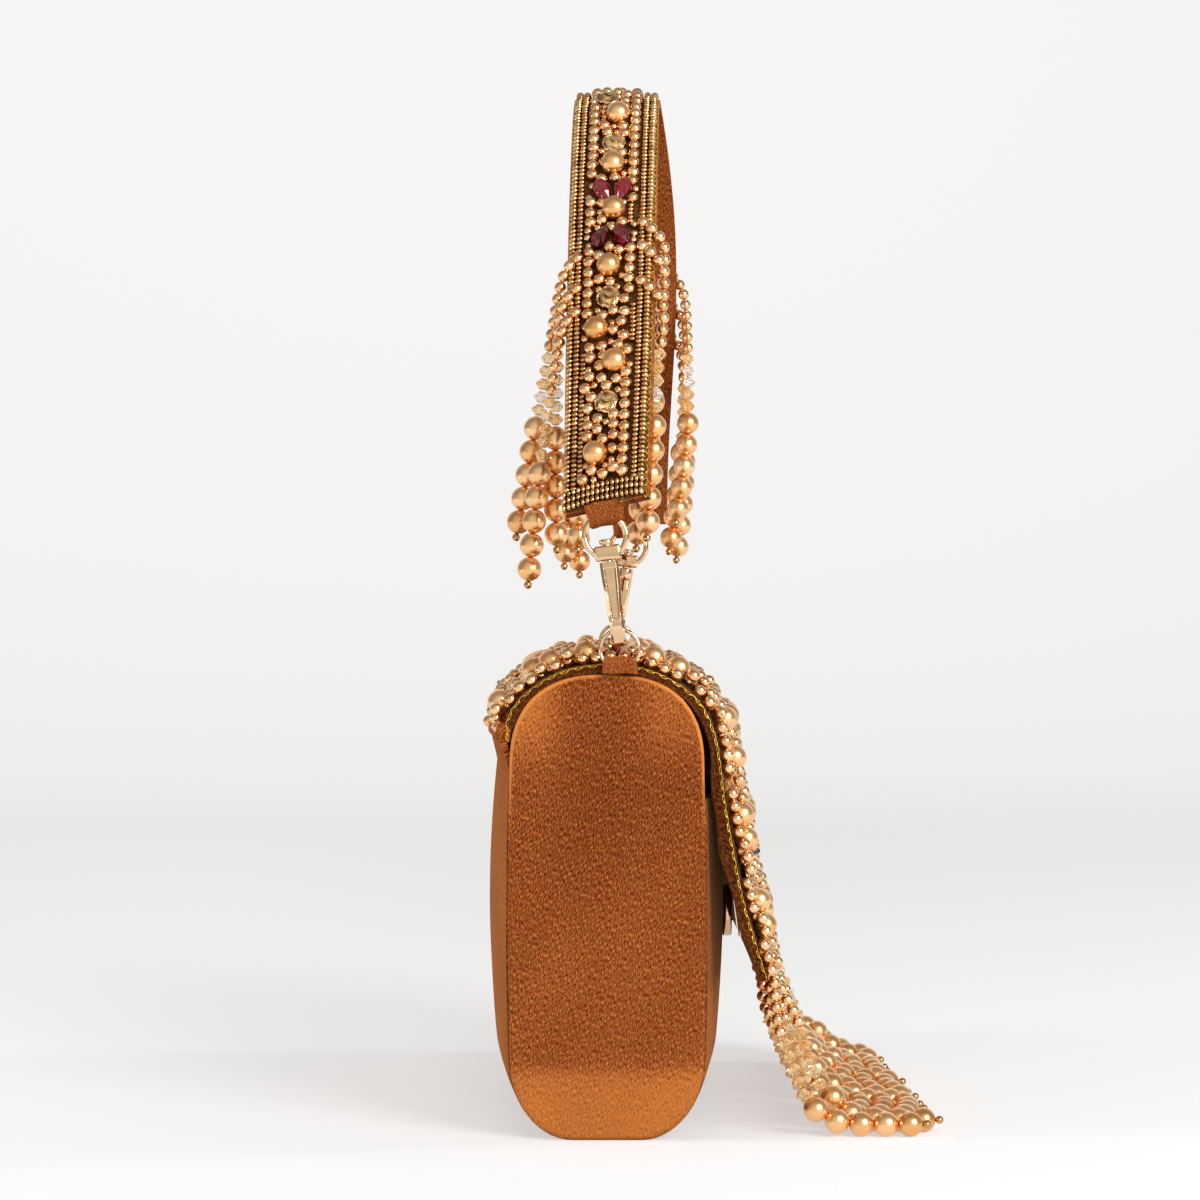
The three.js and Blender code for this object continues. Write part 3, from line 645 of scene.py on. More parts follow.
def makeBinding(side):
    profile = Route([(-1.2, 0.1), (0, 0.1), (binding["width"], -0.05), (binding["width"] * 0.8, -0.3),
                     (binding["width"] * 0.6, -0.66), (binding["roll"], -0.8), (binding["roll"] * 1.4, -0.91),
                     (binding["roll"], -1.02), (0, -1.04), (-binding["under"], -1)])

    def surface(u, v):
        share = binding["start"] + binding["span"] * clamp(v)
        distance = share * flapLine.length
        out, sink = profile.at(clamp(u if side < 0 else 1 - u) * profile.length)
        sink *= bindingDepth(share) if sink < 0 else 1
        edge = side * flap["halfWidth"]
        return flapPoint(edge, distance) + flapNormal(edge, distance) * sink + Vector((side * out, 0, 0))

    flat = (profile.length + binding["depth"] - 1, binding["span"] * flapLine.length)
    return clothSheet(surface, binding["columns"], binding["rows"], binding["thickness"], flat)


flapLining = settle(joinPieces([liningSheet, makeBinding(-1), makeBinding(1)]), "flapLining", liningSatinPaintedShade,
                    ["flap_lining"])
print("flap made")

# Strap band: a falling arch, turned a little towards its left end
strap = {"apex": 346, "end": 201.6, "halfSpan": 101, "crown": 80, "halfWidth": 14.75, "thickness": 2.4,
         "twist": math.radians(26), "twistPower": 1.5, "yaw": 4.6, "bow": 4.5, "ringY": -4.1}


def strapMiddle(x):
    fall = strap["apex"] - strap["end"] + strap["crown"]
    slope = (fall ** 2 - strap["crown"] ** 2) / strap["halfSpan"] ** 2
    z = strap["apex"] + strap["crown"] - math.sqrt(strap["crown"] ** 2 + slope * x ** 2)
    bow = strap["bow"] * math.sin(math.pi * max(0, x / strap["halfSpan"])) ** 2
    return (x, strap["ringY"] - strap["yaw"] * x / strap["halfSpan"] - bow, z)


strapLine = Route([strapMiddle(x) for x in np.linspace(-strap["halfSpan"], strap["halfSpan"], 801)])


# Middle point, tangent, the way to the front edge and the way out, at a distance from the left end
def strapAxes(along):
    centre = Vector(strapLine.at(along))
    tangent = Vector(strapLine.heading(along))
    inward = Vector((0, 1, 0)).cross(tangent).normalized()
    twist = strap["twist"] * max(0, -centre.x / strap["halfSpan"]) ** strap["twistPower"]
    front = -(Vector((0, math.cos(twist), 0)) + inward * math.sin(twist))
    return centre, tangent, front, front.cross(tangent).normalized()


def strapPlace(along, across, lift):
    centre, tangent, front, out = strapAxes(along)
    return centre + front * across + out * lift


def strapSurface(u, v):
    return strapPlace(clamp(v) * strapLine.length, strap["halfWidth"] * (2 * u - 1), 0)


strapFlat = (2 * strap["halfWidth"], strapLine.length)
strapSheet = clothSheet(strapSurface, 8, 150, strap["thickness"], strapFlat)
strapBand = settle(strapSheet, "strapBand", satin, ["strap_band"])
print("strap band made")

# Bead sizes: half extents across and along the hole
beadSize = {"small": 2.0, "tiny": 1.3, "pearl": 4.0, "seed": (1.25, 1.25, 0.8), "crystal": (2.35, 2.35, 2.25),
            "tip": 1.35, "chaton": (3.9, 3.7, 3.0), "drop": (3.2, 2.6, 4.7), "flapCrystal": 2.9}
nestle = 0.94                  # how near two sewn beads lie, as a share of their radii


def allRound(radius):
    return (radius, radius, radius)


def anyAxis():
    return Vector((random.gauss(0, 1), random.gauss(0, 1), random.gauss(0, 1))).normalized()


# A bead that is sewn down lies on its side, with its hole along the cloth
def sewnAxis(out):
    return (anyAxis() + out * 0.15).cross(out).normalized()


# Beads of one size sewn over a patch: each is laid against one that is there, clear of all the others
def packBeads(taken, low, high, radius, tries):
    cell = 9
    cells = {}
    spots = []
    added = []

    def put(spot):
        spots.append(spot)
        cells.setdefault((int(spot[0] // cell), int(spot[1] // cell)), []).append(spot)

    def isClear(x, s):
        column, row = int(x // cell), int(s // cell)
        for i in (column - 1, column, column + 1):
            for j in (row - 1, row, row + 1):
                for spot in cells.get((i, j), ()):
                    if math.hypot(x - spot[0], s - spot[1]) < nestle * (spot[2] + radius):
                        return False
        return True

    for spot in taken:
        put(spot)
    for trial in range(tries):
        base = random.choice(spots)
        angle = random.uniform(0, 2 * math.pi)
        reach = nestle * (base[2] + radius) + random.uniform(0, 0.25)
        x, s = base[0] + reach * math.cos(angle), base[1] + reach * math.sin(angle)
        if low[0] <= x <= high[0] and low[1] <= s <= high[1] and isClear(x, s):
            put((x, s, radius))
            taken.append((x, s, radius))
            added.append((x, s))
    return added


# Flap embroidery: pearls on a lattice, more along the two edges, set stones between, small beads all round
field = {"halfWidth": 94.5, "start": 0.05, "end": 0.965, "pearlColumns": 6, "pearlRows": 5, "lift": 0.3,
         "edgePitch": 4.15, "edgeInset": 2.2, "edgePearlInset": 8.6, "edgePearlPitch": 19, "backing": 0.5,
         "pearlPlan": 3.7, "stonePlan": 3.2, "tries": 60000, "stoneSteps": ((10, 12), (-6, -11)),
         "rimInset": 5, "rootInset": 4, "hemInset": 2, "firstBead": 0.03, "lastBead": 0.985,
         "dropLift": 3.0, "chatonLift": 2.6, "piled": (1.2, 3.2), "uneven": 0.7}


def fieldPlace(u, v):
    share = field["start"] + (field["end"] - field["start"]) * v
    return field["halfWidth"] * (1 - 2 * u), share * flapLine.length


flapPearlSpots = []
for row in range(field["pearlRows"]):
    odd = row % 2
    for column in range(field["pearlColumns"] - odd):
        u = (column + (1 if odd else 0.5)) / field["pearlColumns"]
        flapPearlSpots.append(fieldPlace(u, (row + 0.5) / field["pearlRows"]))
flapStoneSpots = []
for index, (x, s) in enumerate(flapPearlSpots):
    for aside, down in field["stoneSteps"]:
        flapStoneSpots.append((x + aside * (-1) ** index, s + down))
for side in (-1, 1):          # pearls and stones by turns behind each edge row
    edge = side * (flap["halfWidth"] - field["edgePearlInset"])
    for step, s in enumerate(np.arange(11, flapLine.length - 8, field["edgePearlPitch"] / 2)):
        spot = (edge + random.uniform(-1.5, 1.5), s + random.uniform(-1.5, 1.5))
        (flapStoneSpots if step % 3 == 1 else flapPearlSpots).append(spot)


def flapSpot(x, s, lift):
    return flapPoint(x, s) + flapNormal(x, s) * lift


def fits(x, s, plan, taken):
    low, high = field["rootInset"], field["end"] * flapLine.length - field["hemInset"]
    inside = abs(x) < flap["halfWidth"] - field["rimInset"] and low < s < high
    return inside and all(math.hypot(x - a, s - b) > plan + r for a, b, r in taken)


flapPearls = []
flapChatons = []
flapRubies = []
flapCrystals = []
taken = []
for x, s in flapPearlSpots:
    if fits(x, s, field["pearlPlan"], taken):
        taken.append((x, s, field["pearlPlan"]))
        spot = flapSpot(x, s, beadSize["pearl"] + field["lift"])
        axis = sewnAxis(flapNormal(x, s))
        flapPearls.append(placeOf(spot, axis, allRound(beadSize["pearl"]), randomTone()))
for index, (x, s) in enumerate(flapStoneSpots):
    if not fits(x, s, field["stonePlan"], taken):
        continue
    out = flapNormal(x, s)
    taken.append((x, s, field["stonePlan"]))
    if index % 5 == 2:
        lean = (out * 0.4 + anyAxis()).normalized()
        flapRubies.append(placeOf(flapSpot(x, s, field["dropLift"]), lean, beadSize["drop"], randomTone()))
    elif index % 5 == 4:
        spot = flapSpot(x, s, beadSize["flapCrystal"])
        size = allRound(beadSize["flapCrystal"])
        flapCrystals.append(placeOf(spot, anyAxis(), size, random.choice((0.3, 0.95))))
    else:
        spot = flapSpot(x, s, field["chatonLift"])
        flapChatons.append(placeOf(spot, out, beadSize["chaton"], randomTone(), index))

flapSmall = []
firstBead, lastBead = field["firstBead"] * flapLine.length, field["lastBead"] * flapLine.length
for side in (-1, 1):          # the edge rows come first, one bead after another
    edge = side * (flap["halfWidth"] - field["edgeInset"])
    for s in np.arange(firstBead, lastBead, field["edgePitch"]):
        taken.append((edge, s, beadSize["small"]))
        flapSmall.append((edge, s))
fillReach = flap["halfWidth"] - field["edgeInset"] - beadSize["small"]
fillLow, fillHigh = (-fillReach, firstBead), (fillReach, lastBead)
flapSmall += packBeads(taken, fillLow, fillHigh, beadSize["small"], field["tries"])
flapTiny = packBeads(taken, fillLow, fillHigh, beadSize["tiny"], field["tries"])


def beadOnFlap(x, s, size=beadSize["small"], pile=0.3):
    radius = size * random.uniform(0.97, 1.06)
    isPiled = random.random() < pile
    piled = random.uniform(*field["piled"]) if isPiled else random.uniform(0, field["uneven"])
    lift = radius + field["lift"] + piled
    return placeOf(flapSpot(x, s, lift), sewnAxis(flapNormal(x, s)), allRound(radius), randomTone())


overTop = [beadOnFlap(x, s) for x, s in flapSmall if s < 0.5 * flapLine.length]
downFront = [beadOnFlap(x, s) for x, s in flapSmall if s >= 0.5 * flapLine.length]
fieldNode = ["flap_bead_field"]
settle(joinCopies(smallBead, overTop), "flapBeadsTop", roseGold, fieldNode)
settle(joinCopies(smallBead, downFront), "flapBeadsFront", roseGold, fieldNode)
tinyPlaces = [beadOnFlap(x, s, beadSize["tiny"], 0) for x, s in flapTiny]
settle(joinCopies(seedBead, tinyPlaces), "flapTinyBeads", roseGold, fieldNode)
settle(joinCopies(pearlBead, flapPearls), "flapPearls", pearlGold, fieldNode)
settle(joinCopies(chaton, flapChatons), "flapChatons", champagneStone, fieldNode)
settle(joinCopies(stoneCup, flapChatons), "flapStoneCups", hardwareGold, fieldNode)
settle(joinCopies(dropStone, flapRubies), "flapRubies", rubyCrystal, fieldNode)
settle(joinCopies(bicone, flapCrystals), "flapCrystals", amberCrystal, fieldNode)


def backingSurface(u, v):
    x, s = fieldPlace(u, clamp(v))
    return flapSpot(x, s, field["backing"] + 0.1)


backingFlat = (2 * field["halfWidth"], (field["end"] - field["start"]) * flapLine.length)
backingSheet = clothSheet(backingSurface, 36, 80, field["backing"], backingFlat)
flapBacking = settle(backingSheet, "flapBacking", nettingAndShade, fieldNode)
print("flap embroidery made:", len(flapSmall), "small beads,", len(flapPearls), "pearls")


# Gold chain stitch along an edge: slim flat links, each turned a little against the next
chain = {"pitch": 2.3, "link": (0.5, 1.45, 0.5), "turn": 0.25, "beyond": 0.2, "sink": 0.1, "flapTilt": 0.4,
         "strapTilt": 0.6, "strapLift": 0.3, "strapEnd": 0.8}


def chainAlong(places):
    links = []
    for index, (centre, along, out) in enumerate(places):
        side = along.cross(out).normalized()
        turn = chain["turn"] * (-1) ** index
        face = (out * math.cos(turn) + side * math.sin(turn)).normalized()
        across = along.cross(face).normalized()
        width, length, height = chain["link"]
        links.append({"axes": [list(across * width), list(along * length), list(face * height)],
                      "centre": list(centre), "tone": randomTone()})
    return joinCopies(chainLink, links)


flapEdges = []
for side in (-1, 1):
    for s in np.arange(2, flapLine.length - 1, chain["pitch"]):
        edge = side * (flap["halfWidth"] + chain["beyond"])
        down = (flapPoint(edge, s + 0.5) - flapPoint(edge, s - 0.5)).normalized()
        out = (flapNormal(edge, s) * chain["flapTilt"] + Vector((side, 0, 0))).normalized()
        flapEdges.append((flapSpot(edge, s, -chain["sink"]), down, out))
settle(chainAlong(flapEdges), "flapChain", chainGold, ["flap"])


# A strand: small beads, then crystals, then pearls and a tiny end bead, threaded along a route
strand = {"crystals": 5, "crystalPitch": 4.35, "pearls": 5, "squeeze": 0.985}


def threadStrand(route, counts, bins):
    distance = 0

    def thread(name, half, size, tone):
        nonlocal distance
        distance += half
        heading = Vector(route.heading(min(distance, route.length)))
        past = max(0, distance - route.length)
        centre = Vector(route.at(distance)) + heading * past
        bins[name].append(placeOf(centre, heading, size, tone, random.uniform(0, math.pi)))
        distance += half

    clearShare = random.choice((0.0, 0.1, 0.25))
    for index in range(counts["beads"]):
        thread("beads", beadSize["small"] * strand["squeeze"], allRound(beadSize["small"]), randomTone())
    for index in range(counts["crystals"]):
        tone = 0.98 if random.random() < clearShare else clamp(random.gauss(0.4, 0.15))
        thread("crystals", strand["crystalPitch"] / 2, beadSize["crystal"], tone)
    for index in range(counts["pearls"]):
        thread("pearls", beadSize["pearl"] * strand["squeeze"], allRound(beadSize["pearl"]), randomTone())
    thread("tips", beadSize["tip"] * 0.95, allRound(beadSize["tip"]), 0.35)


def settleStrands(bins, name, nodes):
    settle(joinCopies(smallBead, bins["beads"]), name + "Beads", roseGold, nodes)
    settle(joinCopies(bicone, bins["crystals"]), name + "Crystals", amberCrystal, nodes)
    settle(joinCopies(pearlBead, bins["pearls"]), name + "Pearls", pearlGold, nodes)
    settle(joinCopies(seedBead, bins["tips"]), name + "Tips", seedBronze, nodes)


def newBins():
    return {"beads": [], "crystals": [], "pearls": [], "tips": []}


# Flap fringe: strands sewn to the hem, which fall and lie forwards on the floor, the far ones aslant
fringe = {"count": 19, "span": 184, "reach": 3.5, "reachTurn": 1.9, "sway": 0.6, "swayTurn": 2.6, "slant": 42,
          "slantPower": 1.25, "sewn": (-50.9, 58.6), "farReach": 19, "nearReach": (-2, 5, 1),
          "sags": (0.5, -5.5, 2.5, -3), "beads": 7}
fringeRows = [(-53.2, 52), (-55.4, 36), (-63.4, 14), (-64, 13.2), (-70.6, 6.8), (-80, 4), (-104, 4)]
fringeSag = (0, 1, 0.6, 0.5, 0, 0, 0)
fringeBins = newBins()
for index in range(fringe["count"]):
    x = fringe["span"] * (index / (fringe["count"] - 1) - 0.5)
    reach = fringe["reach"] * math.sin(fringe["reachTurn"] * index)
    sway = fringe["sway"] * math.sin(fringe["swayTurn"] * index)
    slant = fringe["slant"] * index / (fringe["count"] - 1)
    reach += fringe["farReach"] * index / (fringe["count"] - 1)
    if index < len(fringe["nearReach"]):
        reach += fringe["nearReach"][index]
    sag = fringe["sags"][index % len(fringe["sags"])] + random.uniform(-1, 1)
    line = [(x, *fringe["sewn"])]
    for t, side, (y, z) in zip(np.linspace(0, 1, len(fringeRows)), fringeSag, fringeRows):
        line.append((x + sway * t - slant * t ** fringe["slantPower"], y - reach * t + sag * side, z))
    route = smoothRoute(line)
    route.points[:, 2] = np.maximum(route.points[:, 2], beadSize["pearl"])
    counts = {"beads": fringe["beads"], "crystals": strand["crystals"], "pearls": strand["pearls"]}
    threadStrand(route, counts, fringeBins)
settleStrands(fringeBins, "fringe", ["flap_fringe"])
print("fringe made")

# Strap embroidery: seed bead ropes along both edges and ends, stones down the middle
strapWork = {"lift": 0.25, "ropes": (12.9, 10.5), "seedPitch": 1.7, "endRopes": (1.5, 3.9, 6.2),
             "bedHalf": 9.1, "sidePitch": 4.1, "tries": 30000, "chainAcross": 14.2, "backing": 0.4,
             "ropeEnd": 7.6, "endRopeInset": 0.9, "endRopeBow": 0.9, "backingInset": 0.6, "sideEnd": 10,
             "bedEnd": 9.4, "tinyMargin": (0.8, 0.4), "chatonLift": 2.7, "chatonPlan": 3.9,
             "dropLift": 3.2, "dropPlan": 3.4, "dropSpread": 3.4, "wingPearl": 112.6,
             "shortRopes": ((12, 42, -8.3), (48, 58, -8.2), (60, 74, 8.3), (108, 115, 6.4))}
strapStones = [                # distance from the end, way towards the front, kind
    (17.5, -2.2, "pearl"), (36.8, 0.5, "chaton"), (51.2, 3.3, "pearl"), (64.7, -3.3, "pearl"),
    (77.2, 0, "chaton"), (89.2, 0, "pearl"), (101.8, 0, "drops"), (112.6, 1, "pearl"), (121.2, 0, "drops"),
    (132.1, 0, "pearl"), (142.7, 0, "chaton"), (156.2, 1, "pearl"), (168, -3, "chaton")]
strapNode = ["strap_bead_field"]


def fromEnd(half, along):
    return along if half < 0 else strapLine.length - along


def ropeAlong(start, end, across):
    seeds = []
    for along in np.arange(start, end, strapWork["seedPitch"]):
        tangent = strapAxes(along)[1]
        lift = beadSize["seed"][0] + strapWork["lift"] + random.uniform(-0.06, 0.06)
        centre = strapPlace(along, across + random.uniform(-0.1, 0.1), lift)
        seeds.append(placeOf(centre, tangent, beadSize["seed"], randomTone(), random.random()))
    return seeds


def ropeAcross(along, half):
    seeds = []
    for across in np.arange(-half, half, strapWork["seedPitch"]):
        front = strapAxes(along)[2]
        bow = strapWork["endRopeBow"] * (1 - (across / half) ** 2)
        place = along + bow if along < strapLine.length / 2 else along - bow
        centre = strapPlace(place, across, beadSize["seed"][0] + strapWork["lift"])
        seeds.append(placeOf(centre, front, beadSize["seed"], randomTone(), random.random()))
    return seeds


strapSeeds = []
for side in (-1, 1):
    for across in strapWork["ropes"]:
        strapSeeds += ropeAlong(strapWork["ropeEnd"], strapLine.length - strapWork["ropeEnd"], side * across)
for half in (-1, 1):
    for along in strapWork["endRopes"]:
        strapSeeds += ropeAcross(fromEnd(half, along), strap["halfWidth"] - strapWork["endRopeInset"])
    for low, high, across in strapWork["shortRopes"]:
        start, end = sorted((fromEnd(half, low), fromEnd(half, high)))
        strapSeeds += ropeAlong(start, end, across)
settle(joinCopies(seedBead, strapSeeds), "strapSeedRopes", seedBronze, strapNode)

strapPearls = []
strapChatons = []
strapDrops = []
strapTaken = []
for half in (-1, 1):
    for low, high, across in strapWork["shortRopes"]:
        for along in np.arange(low, high, 1.5):
            strapTaken.append((across, fromEnd(half, along), 0.9))
    for fromTip, across, kind in strapStones:
        along = fromEnd(half, fromTip)
        centre, tangent, front, out = strapAxes(along)
        if kind == "pearl":
            spot = strapPlace(along, across, beadSize["pearl"] + strapWork["lift"])
            strapPearls.append(placeOf(spot, sewnAxis(out), allRound(beadSize["pearl"]), randomTone()))
            strapTaken.append((across, along, field["pearlPlan"]))
        elif kind == "chaton":
            spot = strapPlace(along, across, strapWork["chatonLift"])
            strapChatons.append(placeOf(spot, out, beadSize["chaton"], randomTone(), 0.3))
            strapTaken.append((across, along, strapWork["chatonPlan"]))
        else:                  # two drops spread like wings, their narrow ends towards the pearl between
            towards = tangent * half if fromTip > strapWork["wingPearl"] else tangent * -half
            for side in (-1, 1):
                lean = (towards - front * side * 0.45).normalized()
                wing = across + side * strapWork["dropSpread"]
                spot = strapPlace(along, wing, strapWork["dropLift"])
                strapDrops.append(placeOf(spot, lean, beadSize["drop"], randomTone(), 0.4))
                strapTaken.append((wing, along, strapWork["dropPlan"]))
settle(joinCopies(pearlBead, strapPearls), "strapPearls", pearlGold, strapNode)
settle(joinCopies(chaton, strapChatons), "strapChatons", champagneStone, strapNode)
settle(joinCopies(stoneCup, strapChatons), "strapStoneCups", hardwareGold, strapNode)
settle(joinCopies(dropStone, strapDrops), "strapRubies", rubyCrystal, strapNode)

bedReach = strapWork["bedHalf"] - beadSize["small"]
sideLast = strapLine.length - strapWork["sideEnd"]
strapSmall = []
for side in (-1, 1):          # a column of beads along each side of the bed, broken where a stone is
    for along in np.arange(strapWork["sideEnd"], sideLast, strapWork["sidePitch"]):
        across = side * (bedReach - 0.2 + 0.3 * ripple(along / 9, side))
        small = beadSize["small"]
        if all(math.hypot(across - a, along - b) > nestle * (r + small) for a, b, r in strapTaken):
            strapTaken.append((across, along, beadSize["small"]))
            strapSmall.append((across, along))
bedLow, bedHigh = (-bedReach, strapWork["bedEnd"]), (bedReach, strapLine.length - strapWork["bedEnd"])
strapSmall += packBeads(strapTaken, bedLow, bedHigh, beadSize["small"], strapWork["tries"])
tinyAside, tinyAlong = strapWork["tinyMargin"]
tinyLow = (bedLow[0] - tinyAside, bedLow[1] - tinyAlong)
tinyHigh = (bedHigh[0] + tinyAside, bedHigh[1] + tinyAlong)
strapTiny = packBeads(strapTaken, tinyLow, tinyHigh, beadSize["tiny"], strapWork["tries"])


def beadsOnStrap(spots, size):
    places = []
    for across, along in spots:
        radius = size * random.uniform(0.97, 1.05)
        spot = strapPlace(along, across, radius + strapWork["lift"] + random.uniform(0, 0.5))
        places.append(placeOf(spot, sewnAxis(strapAxes(along)[3]), allRound(radius), randomTone()))
    return places


strapFill = beadsOnStrap(strapSmall, beadSize["small"])
settle(joinCopies(smallBead, strapFill), "strapBeads", roseGold, strapNode)
tinyBeads = joinCopies(seedBead, beadsOnStrap(strapTiny, beadSize["tiny"]))
settle(tinyBeads, "strapTinyBeads", roseGold, strapNode)


def strapBackingSurface(u, v):
    inset = strapWork["backingInset"]
    along = inset + (strapLine.length - 2 * inset) * clamp(v)
    return strapPlace(along, (strap["halfWidth"] - inset) * (2 * u - 1), strapWork["backing"] + 0.1)


strapBackingFlat = (2 * (strap["halfWidth"] - strapWork["backingInset"]),
                    strapLine.length - 2 * strapWork["backingInset"])
strapBacking = settle(clothSheet(strapBackingSurface, 6, 150, strapWork["backing"], strapBackingFlat),
                      "strapBacking", nettingAndShade, strapNode)

strapEdges = []
for side in (-1, 1):
    for along in np.arange(chain["strapEnd"], strapLine.length - chain["strapEnd"], chain["pitch"]):
        centre, tangent, front, out = strapAxes(along)
        face = (out + front * side * chain["strapTilt"]).normalized()
        spot = strapPlace(along, side * strapWork["chainAcross"], chain["strapLift"])
        strapEdges.append((spot, tangent, face))
settle(chainAlong(strapEdges), "strapChain", chainGold, ["strap_band"])
print("strap embroidery made:", len(strapSeeds), "seed beads,", len(strapFill), "small beads")

# Strands that hang from the strap's edges: start along the bag, out and bow from the edge, height of the tip
hanging = {"beyond": 2.5, "drop": 1.2, "shares": (0.28, 0.57, 0.8, 1), "sewnAlong": 9, "sewnAcross": 9.5,
           "sewnLift": 2.6, "edgeAlong": 4, "edgeInset": 0.4, "edgeLift": 2.4}
strapStrands = [
    {"name": "strapStrandsLeftBack", "node": "strap_fringe_left_back", "half": -1, "side": 1,
     "rows": [(60, 15, 0, 191), (66, 1, 1, 186), (70.5, 10.5, 1, 176)]},
    {"name": "strapStrandsLeftFront", "node": "strap_fringe_left_front", "half": -1, "side": -1,
     "rows": [(54, -7, 0.5, 198), (59, -9, 0.5, 187), (66, -5, 0, 192)]},
    {"name": "strapStrandsRightFront", "node": "strap_fringe_right_front", "half": 1, "side": -1,
     "rows": [(56, -3, 3.5, 198), (62, -5, 2.5, 189), (68, -2, 2.5, 184)]},
    {"name": "strapStrandsRightBack", "node": "strap_fringe_right_back", "half": 1, "side": 1,
     "rows": [(57, 4, 1, 190), (63, 9, 1, 184), (69, 3, 1, 180)]},
]


def alongAtX(x):
    return float(np.interp(x, strapLine.points[:, 0], strapLine.distances))


for cluster in strapStrands:
    half, side = cluster["half"], cluster["side"]
    bins = newBins()
    for start, out, bow, tip in cluster["rows"]:
        along = alongAtX(half * start)
        face = strapPlace(along - half * hanging["sewnAlong"],
                          -side * hanging["sewnAcross"], hanging["sewnLift"])
        edge = strapPlace(along - half * hanging["edgeAlong"],
                          -side * (strap["halfWidth"] - hanging["edgeInset"]), hanging["edgeLift"])
        top = strapPlace(along, -side * (strap["halfWidth"] + hanging["beyond"]), -hanging["drop"])
        line = [face, edge, top]
        for share in hanging["shares"]:
            aside = out * share + bow * math.sin(math.pi * share)
            line.append(Vector((top.x, top.y + side * aside, top.z + (tip - top.z) * share)))
        route = smoothRoute([list(point) for point in line])
        room = route.length - 2 * strand["pearls"] * beadSize["pearl"]
        room -= strand["crystals"] * strand["crystalPitch"]
        counts = {"beads": int(room / (2 * beadSize["small"] * strand["squeeze"])),
                  "crystals": strand["crystals"], "pearls": strand["pearls"]}
        threadStrand(route, counts, bins)
    settleStrands(bins, cluster["name"], [cluster["node"]])
print("strap strands made")


# Metal at each end. Sizes are in millimetres about the bag ring's centre, +X pointing away from the bag.
ring = {"x": 100.4, "y": -4.1, "z": 156.1, "radius": 6.2, "wire": 0.65}
hook = {"lean": math.radians(7.3), "halfWidth": 2.3, "topHalfWidth": 2.95, "narrowBy": 19,
        "halfThickness": 1.4, "chamfer": 0.8, "lip": 0.3, "groove": 0.35, "grooveFrom": 1.6, "grooveTo": 18.5,
        "corners": 14, "paintedShadeCorners": (5, 8), "steps": 90, "barrel": 2.6, "barrelBottom": 24,
        "barrelTop": 27.9, "stem": 1.4, "stemTop": 33.9, "rivet": 2.3, "rivetTop": 35.2}
hookLine = smoothRoute([(1.5, 27.6), (2.1, 25.4), (2.9, 22.2), (3.4, 18.5), (3.6, 12), (3.5, 6), (0, 2.1),
                        (-3.3, 5.2), (-3.2, 8.4)])
eye = {"height": 36.1, "radius": 6.6, "wire": 1.0, "halfX": 2.2, "halfY": 4.25, "bottom": 28.3, "top": 33.2}
gate = {"x": -3.1, "halfWidth": 1.7, "halfThickness": 0.9, "bottom": 9.1, "top": 23.5}
tab = {"halfWidth": 5.7, "halfThickness": 2.2, "bottom": 148.3, "top": 153.8}
strapLoop = {"halfWidth": 6.2, "halfThickness": 2.3, "bottom": 195.2}


def endFrame(facing, lean):
    turned = Matrix.Identity(4) if facing > 0 else Matrix.Rotation(math.pi, 4, "Z")
    place = Matrix.Translation((facing * ring["x"], ring["y"], ring["z"]))
    return Matrix.Scale(mm, 4) @ place @ Matrix.Rotation(facing * lean, 4, "X") @ turned


# The active primitive's turn goes into its mesh, so that the object stays at the origin
def bakePlace():
    piece = bpy.context.object
    bpy.ops.object.transform_apply(location=True, rotation=True, scale=True)
    return piece


def roundBar(radius, bottom, top, softness):
    startPiece()
    bpy.ops.mesh.primitive_cylinder_add(vertices=40, radius=radius, depth=top - bottom,
                                        location=(0, 0, (top + bottom) / 2))
    bar = bakePlace()
    applyModifier(bar, "BEVEL", {"width": softness, "segments": 3, "limit_method": "ANGLE"})
    return bar


def softBlock(half, centre, softness, segments=3):
    startPiece()
    bpy.ops.mesh.primitive_cube_add(size=2, location=centre, scale=half)
    block = bakePlace()
    applyModifier(block, "BEVEL", {"width": softness, "segments": segments})
    return block


def wireRing(radius, wire, height):
    startPiece()
    bpy.ops.mesh.primitive_torus_add(major_segments=72, minor_segments=16, major_radius=radius,
                                     minor_radius=wire, location=(0, 0, height), rotation=(0, math.pi / 2, 0))
    return bakePlace()


# The hook's arm, bent in the XZ plane: a chamfered section that narrows from the top, with a sunk outer face
def hookSection(distance):
    narrow = smoothStep(0, hook["narrowBy"], distance)
    w = hook["topHalfWidth"] + (hook["halfWidth"] - hook["topHalfWidth"]) * narrow
    t = hook["halfThickness"]
    c = hook["chamfer"]
    sunk = smoothStep(0, 0.9, distance - hook["grooveFrom"]) * smoothStep(0, 0.9, hook["grooveTo"] - distance)
    sunkTo = hook["groove"] * sunk - t
    lip = w - c - hook["lip"]
    half = [(w - c, t), (w, t - c), (w, c - t), (w - c, -t), (lip, -t), (lip - 0.2, sunkTo),
            (lip - 0.5, sunkTo)]
    return half + [(-across, out) for across, out in reversed(half)], sunk


